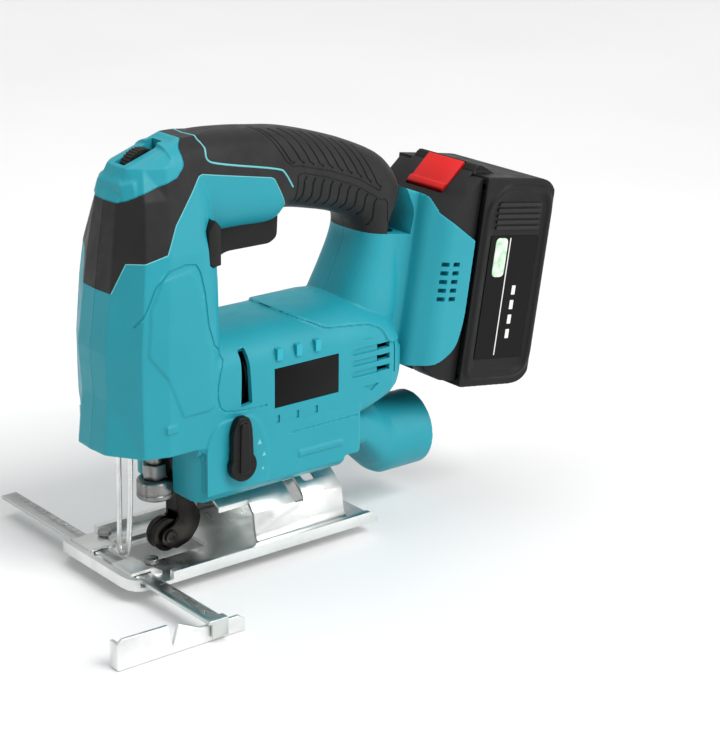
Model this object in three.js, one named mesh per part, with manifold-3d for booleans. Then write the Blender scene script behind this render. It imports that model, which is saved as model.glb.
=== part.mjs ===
// Cordless jigsaw with its slide-in battery, parallel guide and dust port.
// Millimetres, +X forward (cutting direction), +Y to the tool's left, +Z up.
// World origin: centre of the shoe's sole. Inside `tool`, X = 0 is the blade axis.
import * as THREE from 'three';
import { mergeVertices } from 'three/addons/utils/BufferGeometryUtils.js';
import Module from 'manifold-3d';

const wasm = await Module();
wasm.setup();

// ---------- driving dimensions ----------
const BLADE_TO_SHOE_CENTRE = 39;
const GAP = 0.3;
const SPLIT = 0.15;

const SHOE = { front: 37.5, rear: -115.5, half: 36.5, floor: 2, rim: 6, rimWidth: 3.2 };
const BLADE_SLOT = { front: 13, rear: -24, half: 12.6 };
const BAR = { x: 26, width: 9, z: 2.4, thick: 2, far: -103, near: 88 };
const BAR_SCREW = { x: 17, y: 21.5 };
const FENCE = { y: 86, front: 80, rear: 8, low: -7, high: 8.5, thick: 2 };
const SADDLE = { front: -43, rear: -100, radius: 31.5, foot: 28, thick: 2 };

const MOTOR = { z: 88, radius: 18, front: -44, rear: -99 };
const GEAR = { z: 110.5, teeth: 36, pinionTeeth: 9, module: 1, x: -14.5, thick: 5 };
const STROKE = 20;
const PLUNGER_RADIUS = 4.5;
const HOUSING_WALL = 2.8;
const GRIP_DEPTH = 1.8;
const CAP_DEPTH = 2.4;

const BATTERY_TILT = 0.1496;
const BATTERY_ORIGIN = [-174.6, 0, 118.2];
const BATTERY = { half: 37.5, depth: 55, low: -56, high: 56.5, corner: 12 };
const CHANNEL_HALF = 33.2;

const TEAL = { color: 0x3c9dad, roughness: 0.5, metalness: 0 };
const BLACK_RUBBER = { color: 0x303030, roughness: 0.8, metalness: 0 };
const BLACK_PLASTIC = { color: 0x1e1e1e, roughness: 0.55, metalness: 0 };
const GREY_PLASTIC = { color: 0x55585a, roughness: 0.6, metalness: 0 };
const RED = { color: 0xd93335, roughness: 0.45, metalness: 0 };
const ZINC = { color: 0xc4c9c8, roughness: 0.3, metalness: 1 };
const STEEL = { color: 0x8d9090, roughness: 0.35, metalness: 1 };
const DARK_STEEL = { color: 0x2b2a29, roughness: 0.5, metalness: 0.8 };
const COPPER = { color: 0xb87333, roughness: 0.4, metalness: 1 };
const ALUMINIUM = { color: 0xa9adb0, roughness: 0.5, metalness: 1 };
const BOARD_GREEN = { color: 0x1f5b3a, roughness: 0.6, metalness: 0 };

// ---------- solids ----------
function solid(geometry) {
  const bare = geometry.clone();
  bare.deleteAttribute('normal');
  bare.deleteAttribute('uv');
  const merged = mergeVertices(bare, 1e-4);
  return new wasm.Manifold(new wasm.Mesh({
    numProp: 3,
    vertProperties: merged.attributes.position.array,
    triVerts: new Uint32Array(merged.index.array),
  }));
}

function union(...solids) {
  return solids.reduce((whole, next) => whole.add(next));
}

// An outline of [x, y, corner radius] points; a missing radius is a sharp corner.
function outline(points) {
  const shape = new THREE.Shape();
  const count = points.length;
  points.forEach(([x, y, wanted = 0], i) => {
    const corner = new THREE.Vector2(x, y);
    const before = new THREE.Vector2(...points[(i + count - 1) % count]).sub(corner);
    const after = new THREE.Vector2(...points[(i + 1) % count]).sub(corner);
    const radius = Math.min(wanted, 0.45 * before.length(), 0.45 * after.length());
    const start = corner.clone().addScaledVector(before.normalize(), radius);
    const end = corner.clone().addScaledVector(after.normalize(), radius);
    if (i === 0) shape.moveTo(start.x, start.y);
    else shape.lineTo(start.x, start.y);
    if (radius > 0) shape.quadraticCurveTo(x, y, end.x, end.y);
  });
  shape.closePath();
  return shape;
}

function extrude(shape, depth, curveSegments = 4) {
  return new THREE.ExtrudeGeometry(shape, { depth, bevelEnabled: false, curveSegments });
}

// Prisms along Z, Y and X from outlines in XY, XZ and YZ.
function prismZ(points, low, high, curveSegments) {
  return solid(extrude(outline(points), high - low, curveSegments).translate(0, 0, low));
}

function prismY(points, low, high, curveSegments) {
  const geometry = extrude(outline(points), high - low, curveSegments);
  return solid(geometry.rotateX(Math.PI / 2).translate(0, high, 0));
}

function prismX(points, low, high, curveSegments) {
  const geometry = extrude(outline(points), high - low, curveSegments);
  return solid(geometry.rotateX(Math.PI / 2).rotateZ(Math.PI / 2).translate(low, 0, 0));
}

function box(x, y, z) {
  const geometry = new THREE.BoxGeometry(x[1] - x[0], y[1] - y[0], z[1] - z[0]);
  geometry.translate((x[0] + x[1]) / 2, (y[0] + y[1]) / 2, (z[0] + z[1]) / 2);
  return solid(geometry);
}

// A cylinder or cone from one point to another.
function rod(from, to, radius, segments = 24, endRadius = radius) {
  const start = new THREE.Vector3(...from);
  const along = new THREE.Vector3(...to).sub(start);
  const length = along.length();
  const geometry = new THREE.CylinderGeometry(endRadius, radius, length, segments);
  geometry.translate(0, length / 2, 0);
  const up = new THREE.Vector3(0, 1, 0);
  geometry.applyQuaternion(new THREE.Quaternion().setFromUnitVectors(up, along.normalize()));
  return solid(geometry.translate(...from));
}

// A closed skin through rings of equal point counts, capped at both ends.
function loft(rings) {
  const count = rings[0].length;
  const positions = [];
  const triangles = [];
  for (const ring of rings) for (const point of ring) positions.push(...point);
  for (let r = 0; r + 1 < rings.length; r += 1) {
    for (let i = 0; i < count; i += 1) {
      const a = r * count + i;
      const b = r * count + (i + 1) % count;
      triangles.push(a, b, b + count, a, b + count, a + count);
    }
  }
  [0, rings.length - 1].forEach((r, end) => {
    const middle = positions.length / 3;
    const sum = [0, 1, 2].map((k) => rings[r].reduce((total, p) => total + p[k], 0) / count);
    positions.push(...sum);
    for (let i = 0; i < count; i += 1) {
      const a = r * count + i;
      const b = r * count + (i + 1) % count;
      if (end === 0) triangles.push(middle, b, a);
      else triangles.push(middle, a, b);
    }
  });
  const geometry = new THREE.BufferGeometry();
  geometry.setAttribute('position', new THREE.Float32BufferAttribute(positions, 3));
  geometry.setIndex(triangles);
  if (volume(geometry) < 0) {
    const flipped = [];
    for (let i = 0; i < triangles.length; i += 3) {
      flipped.push(triangles[i], triangles[i + 2], triangles[i + 1]);
    }
    geometry.setIndex(flipped);
  }
  return solid(geometry);
}

function volume(geometry) {
  const points = geometry.attributes.position;
  const index = geometry.index.array;
  const [a, b, c] = [new THREE.Vector3(), new THREE.Vector3(), new THREE.Vector3()];
  let total = 0;
  for (let i = 0; i < index.length; i += 3) {
    a.fromBufferAttribute(points, index[i]);
    b.fromBufferAttribute(points, index[i + 1]);
    c.fromBufferAttribute(points, index[i + 2]);
    total += a.dot(b.cross(c)) / 6;
  }
  return total;
}

function middleOf(ring) {
  const total = new THREE.Vector3();
  for (const point of ring) total.add(new THREE.Vector3(...point));
  return total.divideScalar(ring.length);
}

// The ring moved in by a wall thickness towards its middle.
function inset(ring, wall) {
  const middle = middleOf(ring);
  return ring.map((point) => {
    const arm = new THREE.Vector3(...point).sub(middle);
    return arm.setLength(Math.max(0.1, arm.length() - wall)).add(middle).toArray();
  });
}

// Every ring moved in by a wall thickness, and the end rings also along the form.
function insetRings(rings, wall) {
  const last = rings.length - 1;
  return rings.map((ring, i) => {
    const inner = inset(ring, wall);
    if (i > 0 && i < last) return inner;
    const neighbour = rings[i === 0 ? 1 : last - 1];
    const inward = middleOf(neighbour).sub(middleOf(ring)).setLength(wall);
    return inner.map((point) => new THREE.Vector3(...point).add(inward).toArray());
  });
}

function mesh(name, shape, look) {
  const { vertProperties, triVerts } = shape.getMesh();
  const geometry = new THREE.BufferGeometry();
  geometry.setAttribute('position', new THREE.BufferAttribute(vertProperties, 3));
  geometry.setIndex(new THREE.BufferAttribute(triVerts, 1));
  geometry.computeVertexNormals();
  const result = new THREE.Mesh(geometry, new THREE.MeshStandardMaterial(look));
  result.name = name;
  return result;
}

// ---------- housing form ----------
function mirrored(half) {
  const other = half.filter(([, y]) => y > 0.01).map(([x, y, z]) => [x, -y, z]);
  return [...half, ...other.reverse()];
}

// Faceted head: a flat front face, two chamfers a side and a rounded back.
function headRings() {
  const levels = [
    // z, front x, face half, chamfer x, chamfer y, side x, side y, back x
    [64.5, 36.5, 12, 24.5, 29, 12, 33, -27],
    [92, 33.5, 12, 25, 29.5, 12, 33, -27],
    [116, 34.8, 12, 25, 29.5, 12, 33, -27],
    [145, 30.8, 12, 22.5, 29, 10, 32, -27],
    [163, 28.5, 11.3, 20.5, 27.5, 8, 30, -27],
    [189, 24.3, 9.5, 16, 21, 4, 23, -27],
    [203.5, 17.5, 8.5, 12, 14, 2, 18.5, -27],
    [210, -1.5, 8, -4, 12, -9, 14, -27],
    [214.3, -11, 7, -12.4, 9, -14, 10, -27],
  ];
  return levels.map(([z, front, face, cornerX, cornerY, sideX, sideY, back]) => mirrored([
    [front + 0.8, 0, z],
    [front, face, z],
    [cornerX, cornerY, z],
    [sideX, sideY, z],
    [Math.min(sideX - 3, -11), sideY, z],
    [(back - 11) / 2 - 1, sideY * 0.86, z],
    [back + 2, sideY * 0.62, z],
    [back, sideY * 0.36, z],
    [back, 0, z],
  ]));
}

// Rounded motor barrel along X with a flat side and a domed rear end.
function motorRings() {
  const stations = [
    // x, top, bottom, half width
    [-5.2, 117.5, 58, 33],
    [-104, 117.5, 58, 33],
    [-116, 115.5, 62, 33],
    [-127, 111.5, 65, 32.6],
    [-134, 106.5, 69, 30.5],
    [-137, 102, 74, 26.5],
  ];
  return stations.map(([x, top, bottom, half]) => mirrored([
    [x, 0, bottom],
    [x, half - 7, bottom],
    [x, half - 2, bottom + 2],
    [x, half, bottom + 7],
    [x, half, top - 18],
    [x, half - 2.4, top - 12],
    [x, half - 8.5, top - 5.5],
    [x, half - 17, top - 1.6],
    [x, 0, top],
  ]));
}

// Soft-square section between an outer and an inner edge point of the handle.
function gripRing([outerX, outerZ, innerX, innerZ, half]) {
  const count = 16;
  const power = 0.72;
  return Array.from({ length: count }, (_, i) => {
    const angle = (i / count) * 2 * Math.PI;
    const across = Math.sign(Math.sin(angle)) * Math.abs(Math.sin(angle)) ** power * half;
    const along = Math.sign(Math.cos(angle)) * Math.abs(Math.cos(angle)) ** power;
    const t = (1 + along) / 2;
    return [innerX + (outerX - innerX) * t, across, innerZ + (outerZ - innerZ) * t];
  });
}

// The top bow from head to rear, with the trigger housing under its front.
function handleRings() {
  const stations = [
    [-2, 212.5, -6, 172, 20],
    [-26, 214.6, -26, 165.5, 20],
    [-46, 213.8, -47, 164.5, 19.5],
    [-62, 212, -66, 164.2, 19],
    [-79, 209.6, -73, 169.5, 18.6],
    [-100, 204, -93, 166, 18.3],
    [-120, 197, -109, 161.5, 18.3],
    [-138, 187.5, -118, 156.5, 18.8],
    [-147.5, 173, -120, 149, 19.3],
    [-150, 155, -117, 140, 20],
    [-148, 135, -111, 127, 22],
    [-145, 112, -104, 113, 24.5],
    [-140, 95, -98, 98, 25],
  ];
  return stations.map(gripRing);
}

function tilted(shape) {
  return shape.rotate([0, THREE.MathUtils.radToDeg(-BATTERY_TILT), 0]).translate(BATTERY_ORIGIN);
}

// Battery foot: a slab whose back carries the channel that the battery slides in.
function footSolid() {
  const side = [
    [0, 24], [0, -18.5, 6], [3, -34, 8], [14, -42, 8], [29, -44], [44, -40], [46, 30],
    [40, 49], [29, 46.5, 2], [23.7, 38], [18.5, 34.5],
  ];
  const half = BATTERY.half;
  const plan = [
    [-1, -half], [19, -half, 5], [29.5, -29, 4], [31, -22], [46, -19],
    [46, 19], [31, 22], [29.5, 29, 4], [19, half, 5], [-1, half],
  ];
  return prismY(side, -half, half, 3).intersect(prismZ(plan, -60, 60, 3));
}

function lowerBlock(shrink) {
  const s = shrink;
  const side = [
    [-5 - s, 66], [-5 - s, 34 + s, 2], [-96 + s, 34 + s], [-96 + s, 40 + s],
    [-106 + s, 40 + s, 2], [-106 + s, 66],
  ];
  const section = [[-33 + s, 70], [-33 + s, 38 + s], [-29 + s, 34 + s], [29 - s, 34 + s],
    [33 - s, 38 + s], [33 - s, 70]];
  const plan = [[-5 - s, -24 + s], [-12 - s, -33 + s], [-107, -33 + s], [-107, 33 - s],
    [-12 - s, 33 - s], [-5 - s, 24 - s]];
  const long = prismX(section, -107, -4);
  return prismY(side, -40, 40).intersect(long).intersect(prismZ(plan, 30, 66));
}

function outerBody(depth) {
  const shapes = [headRings(), motorRings(), handleRings()];
  return union(...shapes.map((rings) => loft(insetRings(rings, depth))));
}

// Side-view boundary between the soft black grip and the teal shell.
const GRIP_ZONE = [
  [45, 145], [30.5, 145.5], [25.5, 160.5], [9, 164.5], [2, 177], [-16.5, 198, 3], [-61, 189.5, 3],
  [-69.5, 174], [-76, 160], [-110, 152.5], [-146.5, 147.5], [-149, 160, 4], [-138, 189.5, 4],
  [-128, 205], [-90, 230], [-14.5, 230], [-14.5, 216, 3], [-8.6, 210.5, 2], [-8.6, 203, 3],
  [-3, 198.2], [15.5, 192.7], [24, 188.2], [45, 185.5],
];
const CAP_ZONE = [
  [45, 186], [24, 188.7], [15.5, 193.2], [-2.8, 198.7, 2], [-8.1, 203.3, 3], [-8.1, 210.3, 2],
  [-14, 216, 3], [-14, 230], [45, 230],
];

function ventCutters() {
  const slots = [prismY([[-30, 81], [-37, 82], [-35.5, 110], [-31, 109.5]], 26, 40)];
  for (let row = 0; row < 3; row += 1) {
    const z = MOTOR.z - 6.5 + row * 6;
    slots.push(box([-125, -117], [26, 40], [z, z + 3]));
    slots.push(box([-125, -117], [-40, -26], [z, z + 3]));
  }
  slots.push(prismY([[-30, 81], [-37, 82], [-35.5, 110], [-31, 109.5]], -40, -26));
  for (let column = 0; column < 2; column += 1) {
    for (let row = 0; row < 5; row += 1) {
      const x = 9 + column * 7;
      const z = -8 + row * 4.6;
      slots.push(tilted(box([x, x + 4.5], [-40, 40], [z, z + 2.4])));
    }
  }
  return slots;
}

const HOLDER_WINDOW = box([-31, -4.9], [-9, 9], [30, 70]);
const CHANNEL_FLOOR = 22;

function housing() {
  const foot = tilted(footSolid());
  const outer = union(outerBody(0), foot, lowerBlock(0));
  const cavity = union(
    loft(insetRings(headRings().slice(0, 7), 4.6)),
    loft(insetRings(motorRings(), HOUSING_WALL)),
    loft(insetRings(handleRings(), 4.8)),
    lowerBlock(HOUSING_WALL),
  );
  const gripRoom = prismY(GRIP_ZONE, -60, 60).subtract(outerBody(GRIP_DEPTH + GAP).add(foot));
  const capZone = prismY(CAP_ZONE, -60, 60);
  const capRoom = capZone.add(capZone.translate([-0.4, 0, -0.7])).subtract(outerBody(CAP_DEPTH + GAP));
  const channel = tilted(box([-2, CHANNEL_FLOOR], [-CHANNEL_HALF, CHANNEL_HALF], [-70, 70]));
  let shell = outer
    .subtract(cavity)
    .subtract(gripRoom)
    .subtract(capRoom)
    .subtract(channel)
    .subtract(HOLDER_WINDOW)
    .subtract(dialWell())
    .subtract(triggerSlot())
    .subtract(triggerPin(GAP))
    .subtract(lockBar(GAP, 10))
    .subtract(rod([0, 0, 60], [0, 0, 76], 8))
    .subtract(box([-112, -100], [-20, 20], [44.5, 56]))
    .subtract(labelBlock(GAP, 31.6))
    .subtract(rod([-28, 29, 52], [-28, 40, 52], 4 + GAP));
  for (const cutter of ventCutters()) shell = shell.subtract(cutter);
  const wireHole = GUARD_RADIUS + GAP;
  for (const y of GUARD_LEGS) shell = shell.subtract(rod([17.6, y, 60], [17.6, y, 78], wireHole, 16));
  const within = outerBody(3);
  for (const [x, z] of SCREWS) {
    shell = shell
      .add(rod([x, -40, z], [x, 40, z], 4.8, 8).intersect(within))
      .subtract(rod([x, -16, z], [x, 12, z], 1.5 + GAP, 8));
  }
  shell = shell.subtract(screwWells());
  const { x, radius } = BEVEL_BOLT;
  return shell.subtract(rod([x, 0, 30], [x, 0, 44], radius + GAP, 16));
}

// ---------- openings shared by the housing and what sits in it ----------
const DIAL = { x: 3.8, z: 199.5, radius: 10.5, half: 3.4 };
const TRIGGER = { pivotX: -66, pivotZ: 170, half: 8.5 };
const LABEL = { rear: -91, front: -51, low: 76.3, high: 96.5, face: 33.1, back: 31.9 };
const GUARD_LEGS = [-5.5, 5.5];
const GUARD_RADIUS = 1.4;
const SCREWS = [[24, 80], [12, 176], [-92, 188], [-134, 132], [-112, 106], [-112, 71], [-47, 50]];
const BEVEL_BOLT = { x: -72, radius: 3 };

function dialWell() {
  const mouth = [[-5.5, 206], [12, 198], [16, 205], [11, 212], [-4, 218]];
  const half = DIAL.half + 1;
  const well = rod([DIAL.x, -half, DIAL.z], [DIAL.x, half, DIAL.z], DIAL.radius + 0.8, 32);
  return well.add(prismY(mouth, -half, half));
}

// Deep wells on the right-hand side, one over every housing screw.
function screwWells() {
  return union(...SCREWS.map(([x, z]) => rod([x, -50, z], [x, -14.5, z], 3.4 + GAP, 12)));
}

function triggerPin(spare) {
  const { pivotX, pivotZ } = TRIGGER;
  const end = 15.5 + spare;
  return rod([pivotX, -end, pivotZ], [pivotX, end, pivotZ], 1.5 + spare, 12);
}

function triggerSlot() {
  const half = TRIGGER.half + 0.5;
  return box([-72, -29], [-half, half], [160, 182]);
}

// Pointed lock bar on the slanted back corner of the head, wider by `spare` all round.
function lockBar(spare, inner) {
  const points = [
    [-14.6 + spare, 156 - spare], [-17, 154 - spare], [-21.6 - spare, 154.6 - spare],
    [-21.6 - spare, 173.6 + spare], [-18.6, 177 + 1.4 * spare], [-14.6 + spare, 172 + spare],
  ];
  return prismY(points, inner, 60);
}

function labelBlock(spare, back) {
  const x = [LABEL.rear - spare, LABEL.front + spare];
  return box(x, [back, 36], [LABEL.low - spare, LABEL.high + spare]);
}

// ---------- the two shell halves, grips and cap ----------
function largest(shape) {
  return shape.decompose().reduce((best, piece) => (piece.volume() > best.volume() ? piece : best));
}

function sideBox(side, from = SPLIT) {
  return side > 0 ? box([-300, 120], [from, 80], [-60, 260]) : box([-300, 120], [-80, -from], [-60, 260]);
}

const NUDGES = [[GAP, 0], [-GAP, 0], [0, GAP], [0, -GAP]];

function shrunkZone(points) {
  const zone = prismY(points, -60, 60);
  return NUDGES.reduce((kept, [x, z]) => kept.intersect(zone.translate([x, 0, z])), zone);
}

function spread(shape) {
  return union(shape, ...NUDGES.map(([x, z]) => shape.translate([x, 0, z])));
}

function gripLayer() {
  return outerBody(0)
    .subtract(outerBody(GRIP_DEPTH))
    .intersect(shrunkZone(GRIP_ZONE))
    .subtract(spread(tilted(footSolid())))
    .subtract(triggerSlot())
    .subtract(lockBar(GAP, 10))
    .subtract(screwWells());
}

function topCap() {
  const skin = outerBody(0).subtract(outerBody(CAP_DEPTH));
  return largest(skin.intersect(shrunkZone(CAP_ZONE)).subtract(dialWell()));
}

// Ribs that hold the motor can in the barrel.
function motorRibs() {
  const form = loft(insetRings(motorRings(), 2.2));
  const bore = rod([-110, 0, MOTOR.z], [-20, 0, MOTOR.z], MOTOR.radius + GAP, 32);
  const ribs = [-92, -52].map((x) => box([x, x + 3], [-34, 34], [56, 118]));
  return union(...ribs).intersect(form).subtract(bore);
}

// ---------- drive train ----------
function gearOutline(teeth) {
  const pitch = (GEAR.module * teeth) / 2;
  const tip = pitch + 0.8 * GEAR.module;
  const root = pitch - 1.15 * GEAR.module;
  const step = (2 * Math.PI) / teeth;
  const points = [];
  for (let i = 0; i < teeth; i += 1) {
    const middle = i * step;
    const flanks = [[-0.36, root], [-0.14, tip], [0.14, tip], [0.36, root]];
    for (const [turn, radius] of flanks) {
      const angle = middle + turn * 0.8 * step;
      points.push([radius * Math.cos(angle), radius * Math.sin(angle)]);
    }
  }
  return points;
}

// A toothed wheel about X, with its first tooth turned by `phase`.
function toothedWheel(teeth, z, bore, phase) {
  const turned = gearOutline(teeth).map(([y, x]) => [
    y * Math.cos(phase) - x * Math.sin(phase),
    y * Math.sin(phase) + x * Math.cos(phase) + z,
  ]);
  const from = GEAR.x - GEAR.thick / 2;
  const to = GEAR.x + GEAR.thick / 2;
  return prismX(turned, from, to).subtract(rod([from - 1, 0, z], [to + 1, 0, z], bore));
}

function driveGear() {
  const crankZ = GEAR.z;
  const face = GEAR.x + GEAR.thick / 2;
  const radius = STROKE / 2;
  const pin = rod([face - 1, radius, crankZ], [-6.3, radius, crankZ], 2.6, 16);
  return toothedWheel(GEAR.teeth, GEAR.z, 3 + GAP, -Math.PI / 2 + Math.PI / GEAR.teeth).add(pin);
}

function ring(from, to, outer, inner, segments = 28) {
  const beyond = (a, b) => a.map((value, k) => value + (value - b[k]) * 0.5);
  return rod(from, to, outer, segments).subtract(rod(beyond(from, to), beyond(to, from), inner, segments));
}

function fan() {
  const disc = rod([-40, 0, MOTOR.z], [-38.8, 0, MOTOR.z], 16, 32);
  const hub = rod([-40, 0, MOTOR.z], [-33, 0, MOTOR.z], 5.5, 16);
  let wheel = disc.add(hub);
  for (let blade = 0; blade < 9; blade += 1) {
    const vane = box([-39.5, -33.5], [-0.6, 0.6], [4.5, 15.5]).rotate([blade * 40, 0, 0]);
    wheel = wheel.add(vane.translate([0, 0, MOTOR.z]));
  }
  return wheel.subtract(rod([-42, 0, MOTOR.z], [-30, 0, MOTOR.z], 2.5 + GAP, 16));
}

function motorCan() {
  const can = ring([MOTOR.rear, 0, MOTOR.z], [MOTOR.front, 0, MOTOR.z], MOTOR.radius, 13.4, 32);
  const front = rod([MOTOR.front - 2, 0, MOTOR.z], [MOTOR.front, 0, MOTOR.z], MOTOR.radius, 32);
  return can.add(front).subtract(rod([-50, 0, MOTOR.z], [-40, 0, MOTOR.z], 4, 16));
}

function motorEndCap() {
  const plate = ring([-103.5, 0, MOTOR.z], [MOTOR.rear - GAP, 0, MOTOR.z], MOTOR.radius, 6.3, 32);
  const seats = [-1, 1].map((side) => box([-100, -94], [side * 12.3 - 0.4, side * 12.3 + 0.4], [86, 90]));
  return plate.add(union(...seats));
}

function gearCase() {
  const side = [
    [-21.8, 70], [9, 70], [9, 79], [-18, 79], [-18, 136], [9, 136], [9, 144], [-21.8, 144],
  ];
  const front = [[-16, 79.5], [-10, 70], [10, 70], [16, 79.5], [15, 110], [10, 144], [-10, 144], [-15, 110]];
  const arms = prismY(side, -20, 20).intersect(prismX(front, -30, 12));
  return arms
    .subtract(box([-16, 10], [-20, -11], [60, 150]))
    .subtract(box([-16, 10], [11, 20], [60, 150]))
    .subtract(rod([0, 0, 60], [0, 0, 150], 7.5 + GAP))
    .subtract(rod([-30, 0, MOTOR.z], [-10, 0, MOTOR.z], 7 + GAP))
    .subtract(rod([-30, 0, GEAR.z], [-10, 0, GEAR.z], 3 + GAP, 16));
}

function plunger() {
  const stem = rod([0, 0, 49.2], [0, 0, 158], PLUNGER_RADIUS);
  const yoke = box([-6, 5.5], [-15, 15], [GEAR.z - 7, GEAR.z + 7]);
  const slot = box([-7, -2.5], [-13.2, 13.2], [GEAR.z - 3.1, GEAR.z + 3.1]);
  return yoke.add(stem).subtract(slot);
}

// ---------- blade clamp and roller ----------
function clampBody() {
  const nut = prismZ(polygon(6, 6.6), 41.4, 48.9);
  return nut.add(rod([0, 0, 31], [0, 0, 42], 5)).subtract(box([-4, 4], [-0.9, 0.9], [28, 45]));
}

function polygon(sides, radius) {
  return Array.from({ length: sides }, (_, i) => {
    const angle = (i / sides) * 2 * Math.PI;
    return [radius * Math.cos(angle), radius * Math.sin(angle)];
  });
}

function clampCollar() {
  const profile = [[5.3, 30.4], [8.4, 30.4], [9.3, 31.4], [9.3, 40], [8.6, 41], [5.3, 41]];
  const points = [...profile, profile[0]].map(([r, z]) => new THREE.Vector2(r, z));
  return solid(new THREE.LatheGeometry(points, 24).rotateX(Math.PI / 2));
}

const ROLLER = { x: -5, z: 9.2, radius: 8.7, half: 3.9 };

function rollerHolder() {
  const side = [
    [-10.4, 66], [-10.4, 17.5], [-6.5, 14.6, 1], [-0.6, 12, 2], [0.4, 7.5, 3], [-3.5, 3.6, 2],
    [-9, 1.6, 1], [-17, 4, 3], [-22.5, 10.5, 3], [-23.8, 17, 2], [-18.4, 27, 3], [-18.4, 66],
  ];
  const fork = prismY([[-15.5, -2], [-15.5, 12.5], [-10.4, 20.5], [6, 20.5], [6, -2]], -4.3, 4.3);
  const pin = rod([ROLLER.x, -9, ROLLER.z], [ROLLER.x, 9, ROLLER.z], 1.8 + GAP, 16);
  return prismY(side, -6, 6).subtract(fork).subtract(pin);
}

function roller() {
  const { x, z, radius, half } = ROLLER;
  const profile = [
    [2.1, -half], [radius - 0.6, -half], [radius, -half + 0.6], [radius, -1.4], [radius - 1.2, 0],
    [radius, 1.4], [radius, half - 0.6], [radius - 0.6, half], [2.1, half],
  ];
  const points = [...profile, profile[0]].map(([r, y]) => new THREE.Vector2(r, y));
  return solid(new THREE.LatheGeometry(points, 20).translate(x, 0, z));
}

function rollerScrew() {
  const { x, z } = ROLLER;
  const head = rod([x, 6.3, z], [x, 7.3, z], 3.4, 20);
  const socket = prismY(polygon(6, 1.6).map(([a, b]) => [a + x, b + z]), 6.6, 9);
  return head.add(rod([x, -6.6, z], [x, 6.6, z], 1.8, 16)).subtract(socket);
}

function guardWire() {
  const leg = (side) => [
    [17.6, side * 5.5, 76], [17.7, side * 5.4, 53], [18.6, side * 4.6, 20], [19.4, side * 4, 8.5],
    [19.5, side * 2.6, 5.4],
  ];
  const points = [...leg(-1), [19.5, 0, 4.6], ...leg(1).reverse()];
  const curve = new THREE.CatmullRomCurve3(points.map((p) => new THREE.Vector3(...p)), false, 'chordal');
  const section = new THREE.Shape().absarc(0, 0, GUARD_RADIUS, 0, 2 * Math.PI);
  return solid(new THREE.ExtrudeGeometry(section, { steps: 14, extrudePath: curve, curveSegments: 4 }));
}

// ---------- shoe ----------
function plateOutline(inward) {
  const { front, rear, half } = SHOE;
  const x = front - inward;
  const y = half - inward;
  return [[rear, -y], [x, -y, 11 - inward], [x, y, 11 - inward], [rear, y]];
}

function shoePlate() {
  const { floor, rim, rimWidth, rear } = SHOE;
  const tray = prismZ(plateOutline(0), 0, rim).subtract(prismZ(plateOutline(rimWidth), floor, 20));
  const straps = [-1, 1].map((side) => barStrap().translate([0, side * 18.5, 0]));
  const end = prismY([[rear - 1, 8], [rear - 1, 1], [rear + 7, 8]], -40, 40);
  const slot = union(
    box([BLADE_SLOT.rear, BLADE_SLOT.front], [-BLADE_SLOT.half, BLADE_SLOT.half], [-1, 8]),
    box([BLADE_SLOT.front - 1, 21.2], [-10.6, 10.6], [-1, 8]),
    box([BLADE_SLOT.front - 1, 21.2], [-15.5, 15.5], [floor, 8]),
  );
  const gates = box([14, 32.6], [-50, 50], [floor, 20]).subtract(box([0, 40], [-31, 31], [0, 30]));
  let plate = union(tray.subtract(gates).subtract(end), ...straps).subtract(slot);
  for (const y of [-BAR_SCREW.y, BAR_SCREW.y]) {
    plate = plate.subtract(rod([BAR_SCREW.x, y, -1], [BAR_SCREW.x, y, 9], 2.3, 12));
  }
  return plate;
}

// A pressed strap that bridges the guide bar.
function barStrap() {
  const over = [[14.4, 1], [14.4, 3.4, 0.5], [19.5, 6.4, 1], [33, 6.4, 1], [34.6, 3.5], [34.6, 1]];
  const under = [[21.1, 0.5], [21.1, 4.9], [31, 4.9], [31, 0.5]];
  return prismY(over, -8.5, 8.5).subtract(prismY(under, -9, 9).subtract(box([0, 40], [-9, 9], [0, 2])));
}

function saddleSection() {
  const { radius, foot, thick } = SADDLE;
  const limit = 54;
  const arc = (r) => Array.from({ length: 15 }, (_, i) => {
    const angle = THREE.MathUtils.degToRad(-limit + (i / 14) * 2 * limit);
    return [r * Math.sin(angle), r * Math.cos(angle)];
  });
  const outer = [[-33, 2.3], [-33, 4.3], [-foot - 1, 4.4], [-27.2, 7, 2], ...arc(radius),
    [27.2, 7, 2], [foot + 1, 4.4], [33, 4.3], [33, 2.3]];
  const inner = [[foot, 2.3], [foot - 0.5, 3], [25.2, 7.5], ...arc(radius - thick).reverse(), [-25.2, 7.5],
    [-foot + 0.5, 3], [-foot, 2.3]];
  return [...outer, ...inner];
}

function saddle() {
  const main = prismX(saddleSection(), SADDLE.rear, SADDLE.front);
  const nose = prismX(saddleSection(), SADDLE.front - 1, -25).intersect(box([-50, 0], [-20, 20], [10, 40]));
  const ledge = prismX([[-15, 25.5], [15, 25.5], [15, 27.6], [-15, 27.6]], SADDLE.front - 1, -25);
  const slot = box([BEVEL_BOLT.x - 3.8, BEVEL_BOLT.x + 3.8], [-26, 26], [18, 40]);
  const notch = box([-88, -80], [6, 19], [10, 40]);
  const rail = ledge.intersect(rod([-60, 0, 0], [0, 0, 0], 31));
  return largest(union(main, nose, rail).subtract(slot).subtract(notch));
}

function bevelPlate() {
  const arc = (r) => [-8, -4, 0, 4, 8].map((degrees) => {
    const angle = THREE.MathUtils.degToRad(degrees);
    return [r * Math.sin(angle), r * Math.cos(angle)];
  });
  const plate = prismX([...arc(29), ...arc(25.5).reverse()], BEVEL_BOLT.x - 10, BEVEL_BOLT.x + 10);
  const { x, radius } = BEVEL_BOLT;
  return plate.subtract(rod([x, 0, 20], [x, 0, 40], radius + GAP, 16));
}

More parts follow.
